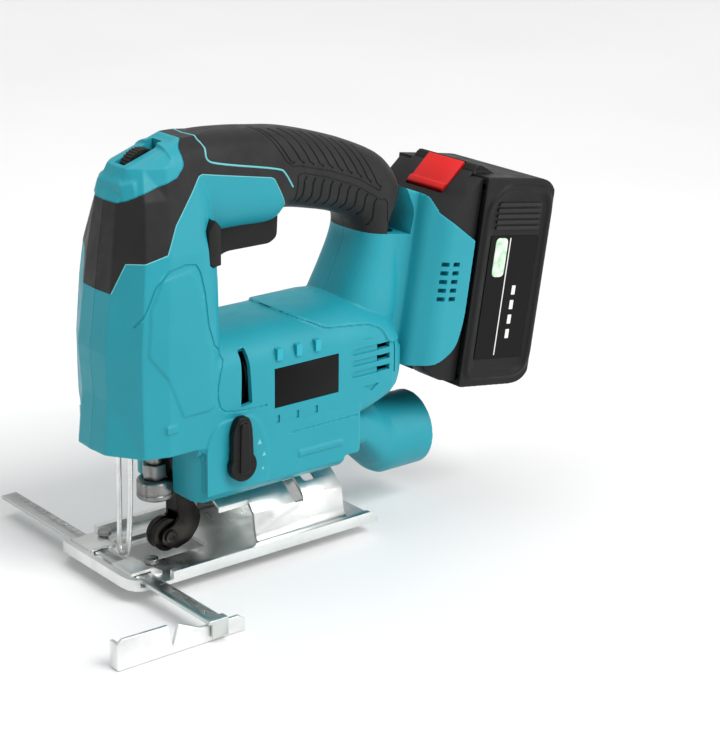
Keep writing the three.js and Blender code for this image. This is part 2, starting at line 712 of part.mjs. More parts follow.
function bevelBolt() {
  const { x, radius } = BEVEL_BOLT;
  const nut = prismZ(polygon(6, 5.6), 20.4, 24.6).translate([x, 0, 0]);
  return rod([x, 0, 24], [x, 0, 42], radius, 16).add(nut);
}

function guideBar() {
  const { x, width, z, thick, far, near } = BAR;
  const edges = [x - width / 2, x + width / 2];
  const blade = box(edges, [far, near + 0.6], [z, z + thick]);
  const tab = box([x - 6.5, x + 2.5], [FENCE.y + 2.6, FENCE.y + 4.4], [-5, z + thick]);
  const shoulder = box([x - 6.5, x + 4.5], [FENCE.y - 0.5, FENCE.y + 4.4], [z, z + thick]);
  return union(blade, tab, shoulder);
}

function fence() {
  const { y, front, rear, low, high, thick } = FENCE;
  const side = [
    [front, low], [front, high - 2], [front - 3, high], [52, high - 0.5], [49.5, -3.5], [46.5, high - 1],
    [34, 1.6], [rear + 4, 1.6], [rear, -1], [rear, low],
  ];
  const plate = prismY(side, y, y + thick);
  const hem = box([front - thick, front], [y - 5, y + 1], [low, high - 2]);
  const tail = box([rear, rear + thick], [y - 4, y + 1], [low, -1]);
  return union(plate, hem, tail);
}

function screwSolid([x, z]) {
  const head = rod([x, -18, z], [x, -14.8, z], 3.3, 12);
  const socket = rod([x, -19, z], [x, -16.4, z], 1.5, 6);
  return head.add(rod([x, -15, z], [x, 11.5, z], 1.4, 8)).subtract(socket);
}

// ---------- dust port ----------
function softRing(x, halfY, lowZ, highZ, power) {
  const middle = (lowZ + highZ) / 2;
  const halfZ = (highZ - lowZ) / 2;
  return Array.from({ length: 20 }, (_, i) => {
    const angle = (i / 20) * 2 * Math.PI;
    const across = Math.sign(Math.cos(angle)) * Math.abs(Math.cos(angle)) ** power;
    const upward = Math.sign(Math.sin(angle)) * Math.abs(Math.sin(angle)) ** power;
    return [x, across * halfY, middle + upward * halfZ];
  });
}

function dustPort() {
  const shell = (wall, over) => loft([
    softRing(-106.4 + over, 24 - wall, 40 + wall, 58.2 - wall, 0.35),
    softRing(-118, 23 - wall, 36 + wall, 57.5 - wall, 0.5),
    softRing(-131, 21.5 - wall, 19 + wall, 54 - wall, 0.8),
    softRing(-141, 20.5 - wall, 10.5 + wall, 51.5 - wall, 1),
    softRing(-167 - over, 20.5 - wall, 10.5 + wall, 51.5 - wall, 1),
  ]);
  const duct = box([-112, -99], [-17.6, 17.6], [47, 53.6]);
  const plug = box([-110, -100.5], [-19.6, 19.6], [45, 55.6]);
  const inside = shell(2.2, 0.5).subtract(box([-108.5, -100], [-30, 30], [0, 80]));
  return shell(0, 0).add(plug).subtract(inside).subtract(duct);
}

// ---------- battery, in its own tilted axes ----------
function batteryCase() {
  const { half, depth, low, high, corner } = BATTERY;
  const side = [
    [-4, low, 2], [-depth, low, corner], [-depth, high, corner], [-22, high + 0.6], [-4, high + 0.6],
  ];
  const plan = [[0, -half], [-depth, -half, 4], [-depth, half, 4], [0, half]];
  const hollow = box([-51.8, 0], [-34.6, 34.6], [low + 3.4, high - 3.4]);
  const label = box([-46.6, -11.4], [half - 1.2, half + 2], [-41.6, 26.6]);
  const hump = prismY([[-24, 55], [-10, 61.3], [-7, 61.5], [-4, 58.1], [-4, 55]], -24, 24);
  return prismY(side, -half, half)
    .intersect(prismZ(plan, -70, 70))
    .add(hump)
    .subtract(union(hollow, label, buttonWell()));
}

// Space for the release button on the pack's sloping shoulder.
function buttonWell() {
  return prismY([[-4.5, 64], [-8.3, 60.5], [-11.6, 54], [1.6, 39.8], [11, 47]], -14.4, 14.4);
}

function batteryFront() {
  const half = CHANNEL_HALF - 0.5;
  const side = [[-3.7, -53, 1], [9, -52, 2], [21.4, -43], [21.4, 32], [6.4, 46.5], [-3.7, 57.8]];
  const lower = [[-3.7, -60], [25, -60], [25, 40], [12, 50], [-3.7, 56]];
  const flanks = prismY(lower, -half, half);
  const hump = prismY([[-10, -60], [25, -60], [25, 70], [-10, 70]], -24, 24);
  const terminals = box([7, 30], [-17.7, 17.7], [-80, 21]);
  const blades = [-11, 11].map((y) => box([1, 8], [y - 0.8, y + 0.8], [-80, 15]));
  return prismY(side, -half, half)
    .intersect(flanks.add(hump))
    .subtract(union(buttonWell(), terminals, ...blades));
}

function batteryButton() {
  const side = [[-5.9, 61.9], [-8.6, 56.6], [3.7, 42.6], [8, 46.6]];
  return prismY(side, -14, 14);
}

function cellPack() {
  const frames = [-1, 1].map((side) => box([-50, -6], [side * 31.5 - 1.4, side * 31.5 + 1.4], [-50, 50]));
  const cells = [];
  for (let column = 0; column < 2; column += 1) {
    for (let row = 0; row < 5; row += 1) {
      const x = -17 - column * 21;
      const z = -40 + row * 20;
      cells.push(rod([x, -31, z], [x, 31, z], 9.1, 10));
    }
  }
  return union(...frames, ...cells);
}

function terminalBlock() {
  const block = box([8, 21.6], [-17, 17], [-28, 20]);
  const blades = [-11, 11].map((y) => box([2, 9], [y - 0.4, y + 0.4], [-24, 14]));
  return block.add(union(...blades));
}

// ---------- assembly ----------
const tool = new THREE.Group();
tool.position.x = BLADE_TO_SHOE_CENTRE;
const battery = new THREE.Group();
battery.position.set(...BATTERY_ORIGIN);
battery.rotation.y = -BATTERY_TILT;
tool.add(battery);

function addHousing() {
  const shell = housing().add(motorRibs());
  const grip = gripLayer();
  for (const [side, name] of [[1, 'left'], [-1, 'right']]) {
    tool.add(mesh(`housing_${name}`, largest(shell.intersect(sideBox(side))), TEAL));
    tool.add(mesh(`grip_${name}`, largest(grip.intersect(sideBox(side))), BLACK_RUBBER));
  }
  tool.add(mesh('top_cap', topCap(), TEAL));
  const label = box([LABEL.rear, LABEL.front], [LABEL.back, LABEL.face], [LABEL.low, LABEL.high]);
  tool.add(mesh('label_plate', label, BLACK_PLASTIC));
  SCREWS.forEach((place, i) => tool.add(mesh(`housing_screw_${i + 1}`, screwSolid(place), DARK_STEEL)));
}

function addControls() {
  const { half } = TRIGGER;
  const side = [
    [-30.6, 149.6, 1], [-31, 158], [-33, 163.4, 2], [-36, 166], [-36, 174], [-71, 174, 2], [-71, 166],
    [-70.5, 156, 3], [-66, 153.3, 3], [-39, 153.6, 3],
  ];
  tool.add(mesh('trigger', prismY(side, -half, half).subtract(triggerPin(GAP)), BLACK_PLASTIC));
  tool.add(mesh('trigger_pin', triggerPin(0), STEEL));
  const bar = lockBar(0, 14).intersect(box([-40, 0], [0, 29.5], [140, 190]));
  tool.add(mesh('lock_button', bar, BLACK_PLASTIC));
  const wheel = rod([DIAL.x, -DIAL.half, DIAL.z], [DIAL.x, DIAL.half, DIAL.z], DIAL.radius, 32);
  const stub = DIAL.half + 0.7;
  const axle = rod([DIAL.x, -stub, DIAL.z], [DIAL.x, stub, DIAL.z], 2, 12);
  tool.add(mesh('speed_dial', wheel.add(axle), BLACK_PLASTIC));
  tool.add(mesh('speed_board', box([-12, 16], [-10, 10], [184, 185.6]), BOARD_GREEN));
  tool.add(mesh('switch_module', box([-62, -34], [-9, 9], [184, 202]), BLACK_PLASTIC));
  const arm = [[-33.8, 60], [-33.6, 70, 3], [-30, 77, 3], [-23, 77, 3], [-20.6, 70, 3], [-21, 56]];
  const lever = prismY(arm, 33.4, 40).add(rod([-28, 33.4, 52], [-28, 40.5, 52], 9, 28));
  tool.add(mesh('orbital_lever', lever, BLACK_PLASTIC));
  const cam = rod([-28, 12, 52], [-28, 18, 52], 6, 20).add(rod([-28, 12, 52], [-28, 33.1, 52], 4, 16));
  tool.add(mesh('orbital_cam', cam, STEEL));
}

function addDrive() {
  const z = MOTOR.z;
  tool.add(mesh('motor_can', motorCan(), STEEL));
  tool.add(mesh('motor_end_cap', motorEndCap(), BLACK_PLASTIC));
  for (const [side, name] of [[1, 'left'], [-1, 'right']]) {
    const brush = box([-97, -93], [side * 9 - 2.6, side * 9 + 2.6], [z - 2, z + 2]);
    tool.add(mesh(`brush_${name}`, brush, COPPER));
  }
  tool.add(mesh('motor_shaft', rod([-106, 0, z], [-11, 0, z], 2.5, 20), STEEL));
  tool.add(mesh('rotor_core', ring([-86, 0, z], [-56, 0, z], 12.6, 2.8), DARK_STEEL));
  tool.add(mesh('commutator', ring([-98, 0, z], [-90, 0, z], 6, 2.8, 20), COPPER));
  tool.add(mesh('cooling_fan', fan(), BLACK_PLASTIC));
  tool.add(mesh('pinion', toothedWheel(GEAR.pinionTeeth, z, 2.8, Math.PI / 2), STEEL));
  tool.add(mesh('front_bearing', ring([-21.8, 0, z], [-18, 0, z], 7, 2.8, 24), STEEL));
  tool.add(mesh('rear_bearing', ring([-103.4, 0, z], [-99.4, 0, z], 6, 2.8, 24), STEEL));
  tool.add(mesh('drive_gear', driveGear(), STEEL));
  tool.add(mesh('gear_axle', rod([-21.6, 0, GEAR.z], [-11, 0, GEAR.z], 3, 16), STEEL));
  tool.add(mesh('gear_case', gearCase(), ALUMINIUM));
  tool.add(mesh('plunger', plunger(), STEEL));
  tool.add(mesh('lower_bush', ring([0, 0, 70.5], [0, 0, 78.5], 7.5, PLUNGER_RADIUS + GAP, 24), COPPER));
  tool.add(mesh('upper_bush', ring([0, 0, 136.5], [0, 0, 143.5], 7.5, PLUNGER_RADIUS + GAP, 24), COPPER));
  tool.add(mesh('clamp_body', clampBody(), DARK_STEEL));
  tool.add(mesh('clamp_collar', clampCollar(), STEEL));
  tool.add(mesh('roller_holder', rollerHolder(), DARK_STEEL));
  tool.add(mesh('guide_roller', roller(), DARK_STEEL));
  tool.add(mesh('roller_screw', rollerScrew(), STEEL));
  tool.add(mesh('guard_wire', guardWire(), ZINC));
}

function addShoe() {
  tool.add(mesh('shoe_plate', shoePlate(), ZINC));
  tool.add(mesh('saddle_bracket', saddle(), ZINC));
  tool.add(mesh('bevel_plate', bevelPlate(), STEEL));
  tool.add(mesh('bevel_bolt', bevelBolt(), STEEL));
  for (const [side, name] of [[1, 'left'], [-1, 'right']]) {
    const [x, y] = [BAR_SCREW.x, side * BAR_SCREW.y];
    const screw = rod([x, y, 0.4], [x, y, 7], 2, 12).add(rod([x, y, 6.8], [x, y, 9], 3.6, 16));
    tool.add(mesh(`bar_screw_${name}`, screw, DARK_STEEL));
  }
  tool.add(mesh('guide_bar', guideBar(), ZINC));
  tool.add(mesh('fence', fence(), ZINC));
  tool.add(mesh('dust_port', dustPort(), TEAL));
}

function addBattery() {
  tool.add(mesh('terminal_block', tilted(terminalBlock()), BLACK_PLASTIC));
  battery.add(mesh('battery_case', batteryCase(), GREY_PLASTIC));
  battery.add(mesh('battery_front', batteryFront(), BLACK_PLASTIC));
  battery.add(mesh('battery_button', batteryButton(), RED));
  battery.add(mesh('battery_label', box([-46, -12], [36.6, 37.6], [-41, 26]), BLACK_PLASTIC));
  battery.add(mesh('cell_pack', cellPack(), GREY_PLASTIC));
}

addHousing();
addControls();
addDrive();
addShoe();
addBattery();

const group = new THREE.Group();
group.add(tool);
export default group;
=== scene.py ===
"""Cordless jigsaw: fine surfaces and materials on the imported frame.

Lengths in this script are millimetres in the blade's frame (X = 0 on the blade axis);
`place` turns them into the shared frame in metres. The battery and its foot are drawn on
the battery's own axes, which `tilt` turns into the blade's frame.
"""

from math import copysign, cos, hypot, pi, radians, sin

import bmesh
import bpy
from mathutils import Matrix, Vector
from mathutils.bvhtree import BVHTree


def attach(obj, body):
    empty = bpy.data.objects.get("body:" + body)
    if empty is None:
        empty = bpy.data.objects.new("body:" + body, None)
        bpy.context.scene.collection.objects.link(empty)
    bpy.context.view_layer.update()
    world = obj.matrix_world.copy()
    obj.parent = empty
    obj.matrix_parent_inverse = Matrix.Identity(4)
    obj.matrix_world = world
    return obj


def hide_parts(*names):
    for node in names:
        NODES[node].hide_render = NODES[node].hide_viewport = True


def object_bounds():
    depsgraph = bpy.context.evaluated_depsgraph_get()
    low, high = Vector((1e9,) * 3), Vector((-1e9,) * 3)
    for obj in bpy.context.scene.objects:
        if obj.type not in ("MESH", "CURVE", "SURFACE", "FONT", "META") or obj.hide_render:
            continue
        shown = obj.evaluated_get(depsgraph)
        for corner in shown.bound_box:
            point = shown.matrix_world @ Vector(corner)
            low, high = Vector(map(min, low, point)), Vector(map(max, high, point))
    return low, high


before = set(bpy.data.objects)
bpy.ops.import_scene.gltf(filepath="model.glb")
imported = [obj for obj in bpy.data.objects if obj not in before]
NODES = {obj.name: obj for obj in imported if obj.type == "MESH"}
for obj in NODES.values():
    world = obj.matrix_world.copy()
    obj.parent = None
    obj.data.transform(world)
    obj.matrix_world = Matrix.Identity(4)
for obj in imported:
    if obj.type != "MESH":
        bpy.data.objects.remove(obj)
CAD_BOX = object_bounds()
BLADE_TO_CENTRE = 39.0
TILT = 0.1496
BATTERY_ORIGIN = Vector((-174.6, 0.0, 118.2))
PER_METRE = 1000
THROUGH = 60  # half width of a solid that goes right through the tool
OUTSIDE = 40  # Y that is clear of every side face

# Centres in XZ of what turns on an axle across the tool.
DIAL = (3.8, 199.5)
TRIGGER_PIN = (-66, 170)
LEVER = (-28, 52)


# ---------- meshes ----------
def place(point):
    """A point in the shared frame, in metres."""
    x, y, z = point
    return ((x + BLADE_TO_CENTRE) / PER_METRE, y / PER_METRE, z / PER_METRE)


def tilt(point):
    """A point of the battery's own axes in the blade's frame."""
    x, y, z = point
    c, s = cos(TILT), sin(TILT)
    return (BATTERY_ORIGIN.x + c * x - s * z, y, BATTERY_ORIGIN.z + s * x + c * z)


def linked(obj):
    """The new object, put in the scene."""
    bpy.context.scene.collection.objects.link(obj)
    return obj


def obj_from(name, points, faces, tilted=False):
    if tilted:
        points = [tilt(p) for p in points]
    mesh = bpy.data.meshes.new(name)
    mesh.from_pydata([place(p) for p in points], [], faces)
    bm = bmesh.new()
    bm.from_mesh(mesh)
    bmesh.ops.recalc_face_normals(bm, faces=bm.faces)
    bm.to_mesh(mesh)
    bm.free()
    return linked(bpy.data.objects.new(name, mesh))


def rounded(points, steps=5):
    """An outline of (x, y, corner radius) points as plain (x, y) points."""
    out = []
    count = len(points)
    for i, item in enumerate(points):
        corner = Vector(item[:2])
        wanted = item[2] if len(item) > 2 else 0
        before = Vector(points[i - 1][:2]) - corner
        after = Vector(points[(i + 1) % count][:2]) - corner
        radius = min(wanted, 0.45 * before.length, 0.45 * after.length)
        if radius <= 0:
            out.append(tuple(corner))
            continue
        a = corner + before.normalized() * radius
        b = corner + after.normalized() * radius
        for k in range(steps + 1):
            t = k / steps
            out.append(tuple((1 - t) ** 2 * a + 2 * t * (1 - t) * corner + t * t * b))
    return out


def grown(points, by):
    """The outline moved outwards by a small distance."""
    area = sum(p[0] * q[1] - q[0] * p[1] for p, q in zip(points, points[1:] + points[:1]))
    sign = 1 if area > 0 else -1
    out = []
    for i, p in enumerate(points):
        d1 = (Vector(p) - Vector(points[i - 1])).normalized()
        d2 = (Vector(points[(i + 1) % len(points)]) - Vector(p)).normalized()
        normal = Vector((d1.y + d2.y, -d1.x - d2.x))
        if normal.length > 1e-6:
            normal.normalize()
        out.append(tuple(Vector(p) + normal * by * sign))
    return out


def turns(count):
    return [2 * pi * i / count for i in range(count)]


def skin(name, rings, tilted=False):
    """A closed skin over rings of equally many points, with flat ends."""
    count = len(rings[0])
    verts = [p for ring in rings for p in ring]
    faces = [tuple(range(count)), tuple(len(verts) - 1 - i for i in range(count))]
    for start in range(0, len(verts) - count, count):
        for i in range(count):
            a, b = start + i, start + (i + 1) % count
            faces.append((a, b, b + count, a + count))
    return obj_from(name, verts, faces, tilted)


def prism(name, points, low, high, along="y", tilted=False):
    """A prism of the outline: in XZ along Y, in XY along Z or in YZ along X."""
    place_in = {
        "y": lambda p, h: (p[0], h, p[1]),
        "z": lambda p, h: (p[0], p[1], h),
        "x": lambda p, h: (h, p[0], p[1]),
    }[along]
    return skin(name, [[place_in(p, h) for p in points] for h in (low, high)], tilted)


def tilted_prism(name, points, low, high):
    """A prism across the tool, drawn on the battery's own axes."""
    return prism(name, points, low, high, "y", True)


def rectangle(x, z, radius=0, steps=1):
    """The outline of a rectangle, with round corners where a radius is given."""
    corners = [(x[0], z[0]), (x[1], z[0]), (x[1], z[1]), (x[0], z[1])]
    return rounded([(*corner, radius) for corner in corners], steps) if radius else corners


def block(name, x, y, z, tilted=False):
    return prism(name, rectangle(x, z), *y, "y", tilted)


def outward(side, low, high=OUTSIDE):
    """A span of Y on one side of the tool."""
    return sorted((side * low, side * high))


def rod(name, start, end, radius, segments=48):
    start, end = Vector(start), Vector(end)
    turn = Vector((0, 0, 1)).rotation_difference((end - start).normalized()).to_matrix()
    arms = [turn @ Vector((radius * cos(a), radius * sin(a), 0)) for a in turns(segments)]
    return skin(name, [[tuple(middle + arm) for arm in arms] for middle in (start, end)])


def axle(name, centre, span, radius, segments=48):
    """A rod across the tool, between two places in Y."""
    x, z = centre
    return rod(name, (x, span[0], z), (x, span[1], z), radius, segments)


def lathe(name, profile, origin, axis, segments=72):
    """A closed profile of (radius, height) points turned about an axis."""
    turn = Vector((0, 0, 1)).rotation_difference(Vector(axis)).to_matrix()
    verts, faces = [], []
    for a in turns(segments):
        for r, h in profile:
            spoke = Vector((r * cos(a), r * sin(a), h))
            verts.append(tuple(Vector(origin) + turn @ spoke))
    count = len(profile)
    for i in range(segments):
        j = (i + 1) % segments
        for k in range(count):
            m = (k + 1) % count
            faces.append((i * count + k, j * count + k, j * count + m, i * count + m))
    return obj_from(name, verts, faces)


def loft(name, rings):
    """A skin of triangles over rings that needn't be flat or alike."""
    obj = skin(name, rings)
    triangulate(obj)
    return obj


def triangulate(obj):
    bm = bmesh.new()
    bm.from_mesh(obj.data)
    bmesh.ops.triangulate(bm, faces=[f for f in bm.faces if len(f.verts) > 3])
    bm.to_mesh(obj.data)
    bm.free()


def tube(name, path, radius, sides=8, closed=False, tilted=False):
    """A round tube along a polyline."""
    points = [Vector(p) for p in path]
    rings = []
    count = len(points)
    for i, p in enumerate(points):
        before = points[i - 1] if (i > 0 or closed) else p
        after = points[(i + 1) % count] if (i + 1 < count or closed) else p
        along = (after - before).normalized()
        side = along.cross(Vector((0, 1, 0)))
        if side.length < 0.3:
            side = along.cross(Vector((0, 0, 1)))
        side.normalize()
        up = side.cross(along).normalized()
        arms = [radius * (cos(a) * side + sin(a) * up) for a in turns(sides)]
        rings.append([tuple(p + arm) for arm in arms])
    verts = [p for ring in rings for p in ring]
    faces = []
    last = count if closed else count - 1
    for r in range(last):
        s = (r + 1) % count
        for i in range(sides):
            j = (i + 1) % sides
            faces.append((r * sides + i, r * sides + j, s * sides + j, s * sides + i))
    if not closed:
        faces.append(tuple(range(sides)))
        faces.append(tuple(len(verts) - 1 - i for i in range(sides)))
    return obj_from(name, verts, faces, tilted)


def applied(obj):
    """Works the object's modifiers into its mesh."""
    graph = bpy.context.evaluated_depsgraph_get()
    fresh = bpy.data.meshes.new_from_object(obj.evaluated_get(graph))
    old = obj.data
    obj.modifiers.clear()
    obj.data = fresh
    bpy.data.meshes.remove(old)


def discard(*objs):
    for obj in objs:
        mesh = obj.data
        bpy.data.objects.remove(obj)
        if not mesh.users:
            bpy.data.meshes.remove(mesh)


def joined(target, others, operation, keep=False):
    """The target after one boolean with each of the others, which are used up unless kept."""
    for other in others:
        join = target.modifiers.new("join", "BOOLEAN")
        join.operation = operation
        join.solver = "MANIFOLD"
        join.object = other
    applied(target)
    if not keep:
        discard(*others)
    return target


def add(target, *others):
    return joined(target, others, "UNION")


def cut(target, *others, keep=False):
    return joined(target, others, "DIFFERENCE", keep)


def common(target, *others):
    return joined(target, others, "INTERSECT")


def copy(obj, name):
    return linked(bpy.data.objects.new(name, obj.data.copy()))


def remesh(obj, voxel, smooth):
    """One even skin of small cells, with its joins softened by some rounds of smoothing."""
    mod = obj.modifiers.new("remesh", "REMESH")
    mod.mode = "VOXEL"
    mod.voxel_size = voxel / PER_METRE
    soft = obj.modifiers.new("smooth", "SMOOTH")
    soft.factor = 0.5
    soft.iterations = smooth
    applied(obj)


def shade(obj, degrees=32):
    mesh = obj.data
    mesh.polygons.foreach_set("use_smooth", [True] * len(mesh.polygons))
    mesh.set_sharp_from_angle(angle=radians(degrees))
    return obj


WELD = 2e-6
FLAT = radians(1.5)


def bevel(obj, width, segments, degrees=34):
    """Welds the mesh and rounds the edges that are sharper than an angle."""
    bm = bmesh.new()
    bm.from_mesh(obj.data)
    bmesh.ops.remove_doubles(bm, verts=bm.verts, dist=WELD)
    bmesh.ops.dissolve_limit(bm, angle_limit=FLAT, verts=bm.verts, edges=bm.edges)
    folded = [e for e in bm.edges if len(e.link_faces) == 2]
    edges = [e for e in folded if e.calc_face_angle(0) > radians(degrees)]
    bmesh.ops.bevel(
        bm, geom=edges, offset=width / PER_METRE, segments=segments, profile=0.5,
        affect="EDGES", clamp_overlap=True, loop_slide=True,
    )
    bm.to_mesh(obj.data)
    bm.free()


def finish_piece(obj, body, slot, look, *nodes):
    """Gives a visible piece its look and body, and hides the CAD nodes that it stands for; the slot
    is not used.
    """
    obj.data.materials.clear()
    obj.data.materials.append(LOOK[look])
    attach(obj, body)
    if nodes:
        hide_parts(*nodes)


# ---------- materials ----------
# Sockets of a Mix node that works on colours.
MIX_A, MIX_B, MIX_RESULT = 6, 7, 2


class Look:
    """A node material under construction, in object coordinates."""

    def __init__(self, name, roughness, metallic=0.0):
        self.material = bpy.data.materials.new(name)
        self.material.use_nodes = True
        self.nodes = self.material.node_tree.nodes
        self.links = self.material.node_tree.links
        self.shader = self.nodes["Principled BSDF"]
        self.shader.inputs["Roughness"].default_value = roughness
        self.shader.inputs["Metallic"].default_value = metallic
        self.place = self.nodes.new("ShaderNodeTexCoord").outputs["Object"]
        self.height = None

    def noise(self, scale, detail, stretch=None):
        source = self.place
        if stretch:
            mapping = self.nodes.new("ShaderNodeMapping")
            mapping.inputs["Scale"].default_value = stretch
            self.links.new(source, mapping.inputs["Vector"])
            source = mapping.outputs["Vector"]
        node = self.nodes.new("ShaderNodeTexNoise")
        node.inputs["Scale"].default_value = scale
        node.inputs["Detail"].default_value = detail
        self.links.new(source, node.inputs["Vector"])
        return node.outputs["Fac"]

    def ramp(self, value, stops):
        node = self.nodes.new("ShaderNodeValToRGB")
        ramp = node.color_ramp
        while len(ramp.elements) < len(stops):
            ramp.elements.new(0.5)
        for element, (position, colour) in zip(ramp.elements, stops):
            element.position = position
            element.color = (*colour, 1)
        self.links.new(value, node.inputs["Fac"])
        return node.outputs["Color"]

    def span(self, value, low, high, start=0.0, end=1.0):
        node = self.nodes.new("ShaderNodeMapRange")
        limits = {"From Min": start, "From Max": end, "To Min": low, "To Max": high}
        for key, limit in limits.items():
            node.inputs[key].default_value = limit
        self.links.new(value, node.inputs["Value"])
        return node.outputs["Result"]

    def mix(self, factor, a, b, blend="MIX"):
        """A mix of two colours; each value is a socket, a plain colour or a plain factor."""
        node = self.nodes.new("ShaderNodeMix")
        node.data_type = "RGBA"
        node.blend_type = blend
        for key, value in (("Factor", factor), (MIX_A, a), (MIX_B, b)):
            if isinstance(value, float):
                node.inputs[key].default_value = value
            elif isinstance(value, tuple):
                node.inputs[key].default_value = (*value, 1)
            else:
                self.links.new(value, node.inputs[key])
        return node.outputs[MIX_RESULT]

    def edges(self, low, high):
        """0 on flats and 1 on convex edges, between two values of pointiness."""
        geometry = self.nodes.new("ShaderNodeNewGeometry")
        return self.span(geometry.outputs["Pointiness"], 0, 1, low, high)

    def bump(self, value, strength, distance):
        """Adds one more layer of relief over those before it."""
        node = self.nodes.new("ShaderNodeBump")
        node.inputs["Strength"].default_value = strength
        node.inputs["Distance"].default_value = distance
        self.links.new(value, node.inputs["Height"])
        if self.height:
            self.links.new(self.height, node.inputs["Normal"])
        self.height = node.outputs["Normal"]
        self.links.new(self.height, self.shader.inputs["Normal"])

    def colour(self, socket):
        self.links.new(socket, self.shader.inputs["Base Color"])

    def rough(self, socket):
        self.links.new(socket, self.shader.inputs["Roughness"])


def linear(*bytes_rgb):
    """An sRGB colour in 0 to 255 as linear values."""
    shares = [v / 255 for v in bytes_rgb]
    return tuple(v / 12.92 if v <= 0.04045 else ((v + 0.055) / 1.055) ** 2.4 for v in shares)


def shaded(colour, factor):
    return tuple(min(1.0, v * factor) for v in colour)


def plastic(name, colour, rough, grain=1.0, wear_and_edge_highlight=1.25, edge=(0.52, 0.6), specular=0.5):
    """Moulded plastic: spark-eroded grain, faint flow marks and slightly paler edges, partly wear
    and partly a painted highlight.
    """
    look = Look(name, rough)
    flow = look.ramp(look.noise(38, 5), [(0.3, shaded(colour, 0.97)), (0.7, shaded(colour, 1.03))])
    # Paler convex edges: partly wear, partly a painted highlight along them.
    edged = look.mix(look.edges(*edge), flow, shaded(colour, wear_and_edge_highlight))
    look.colour(edged)
    look.rough(look.span(look.noise(95, 6), rough - 0.07, rough + 0.09, 0.3, 0.7))
    look.bump(look.noise(2600, 3), 0.12 * grain, 0.0001)
    look.bump(look.noise(300, 4), 0.05 * grain, 0.0002)
    look.shader.inputs["Specular IOR Level"].default_value = specular
    return look.material


def rubber(name, colour, rough):
    """Soft grip: fine deep grain, an uneven tone and a little sheen."""
    look = Look(name, rough)
    tones = [(0.35, shaded(colour, 0.86)), (0.65, shaded(colour, 1.14))]
    base = look.ramp(look.noise(60, 6), tones)
    # Paler convex edges: partly wear, partly a painted highlight along them.
    look.colour(look.mix(look.edges(0.52, 0.64), base, shaded(colour, 1.7)))
    look.rough(look.span(look.noise(140, 6), rough - 0.12, rough + 0.1, 0.3, 0.7))
    look.bump(look.noise(3200, 2), 0.3, 0.00012)
    look.bump(look.noise(420, 5), 0.08, 0.0002)
    look.shader.inputs["Specular IOR Level"].default_value = 0.22
    look.shader.inputs["Sheen Weight"].default_value = 0.06
    look.shader.inputs["Sheen Roughness"].default_value = 0.5
    return look.material


def metal(name, colour, rough, wave, dirt=0.8, spangle=0.0, stretch=None):
    """Plated or machined metal: cloudy tone, fine scratches, slow waves and paler edges, partly
    wear and partly a painted highlight.
    """
    look = Look(name, rough, 1.0)
    cloud = look.ramp(look.noise(45, 7), [(0.3, shaded(colour, dirt)), (0.7, shaded(colour, 1.08))])
    if spangle:
        cells = look.nodes.new("ShaderNodeTexVoronoi")
        cells.inputs["Scale"].default_value = 260
        look.links.new(look.place, cells.inputs["Vector"])
        tone = look.span(cells.outputs["Color"], 1 - spangle, 1 + spangle)
        cloud = look.mix(0.8, cloud, tone, "MULTIPLY")
    # Paler convex edges: partly wear, partly a painted highlight along them.
    look.colour(look.mix(look.edges(0.53, 0.66), cloud, shaded(colour, 1.15)))
    look.rough(look.span(look.noise(110, 8), rough - 0.08, rough + 0.14, 0.3, 0.7))
    look.bump(look.noise(900, 3, stretch), 0.04, 0.0002)
    look.bump(look.noise(70, 3), wave, 0.0006)
    return look.material


def make_looks():
    return {
        "teal": plastic("teal_shell", linear(34, 148, 163), 0.42, wear_and_edge_highlight=1.3,
                        edge=(0.515, 0.58), specular=0.28),
        # Pale teal for the lever marks, which are real, and for the painted highlight lines on the
        # grip's edge.
        "mark_and_painted_highlight": plastic("teal_mark_and_painted_highlight", linear(96, 178, 184), 0.45, grain=0.6, wear_and_edge_highlight=1.2),
        "grip": rubber("black_grip", linear(32, 32, 32), 0.52),
        "black": plastic("black_plastic", linear(20, 20, 19), 0.4, wear_and_edge_highlight=2.6,
                         edge=(0.515, 0.59), specular=0.2),
        "lever": plastic("lever_plastic", linear(15, 13, 12), 0.36, grain=0.8, wear_and_edge_highlight=3.0,
                         edge=(0.515, 0.6), specular=0.22),
        "case": plastic("battery_plastic", linear(21, 21, 22), 0.42, grain=1.3, wear_and_edge_highlight=2.6,
                        edge=(0.515, 0.57), specular=0.2),
        "red": plastic("red_button", linear(205, 22, 20), 0.38, grain=0.7, specular=0.25),
        "label": plastic("label_film", linear(9, 9, 9), 0.34, grain=0.5, wear_and_edge_highlight=1.3, specular=0.12),
        "print": plastic("label_print", linear(225, 225, 222), 0.45, grain=0.3, wear_and_edge_highlight=1.0),
        "gauge": gauge_look(),
        "zinc": metal("zinc_sheet", linear(226, 228, 226), 0.32, wave=0.06, dirt=0.9, spangle=0.04),
        "zinc_bar": metal("zinc_bar", linear(196, 200, 197), 0.34, wave=0.12, spangle=0.08),
        "fence": metal("fence_sheet", linear(232, 233, 232), 0.4, wave=0.12, dirt=0.9,
                       spangle=0.05),
        "steel": metal("machined_steel", linear(150, 150, 148), 0.28, wave=0.15, dirt=0.7,
                       stretch=(1, 1, 14)),
        "dark": metal("black_steel", linear(52, 50, 48), 0.36, wave=0.3, dirt=0.6),
        "copper": metal("copper", linear(196, 130, 92), 0.35, wave=0.2, dirt=0.7),
        "cast": metal("cast_aluminium", linear(176, 178, 180), 0.5, wave=0.5, dirt=0.75,
                      spangle=0.1),
        "board": plastic("board_green", linear(36, 96, 62), 0.4, grain=0.6, wear_and_edge_highlight=1.3),
    }


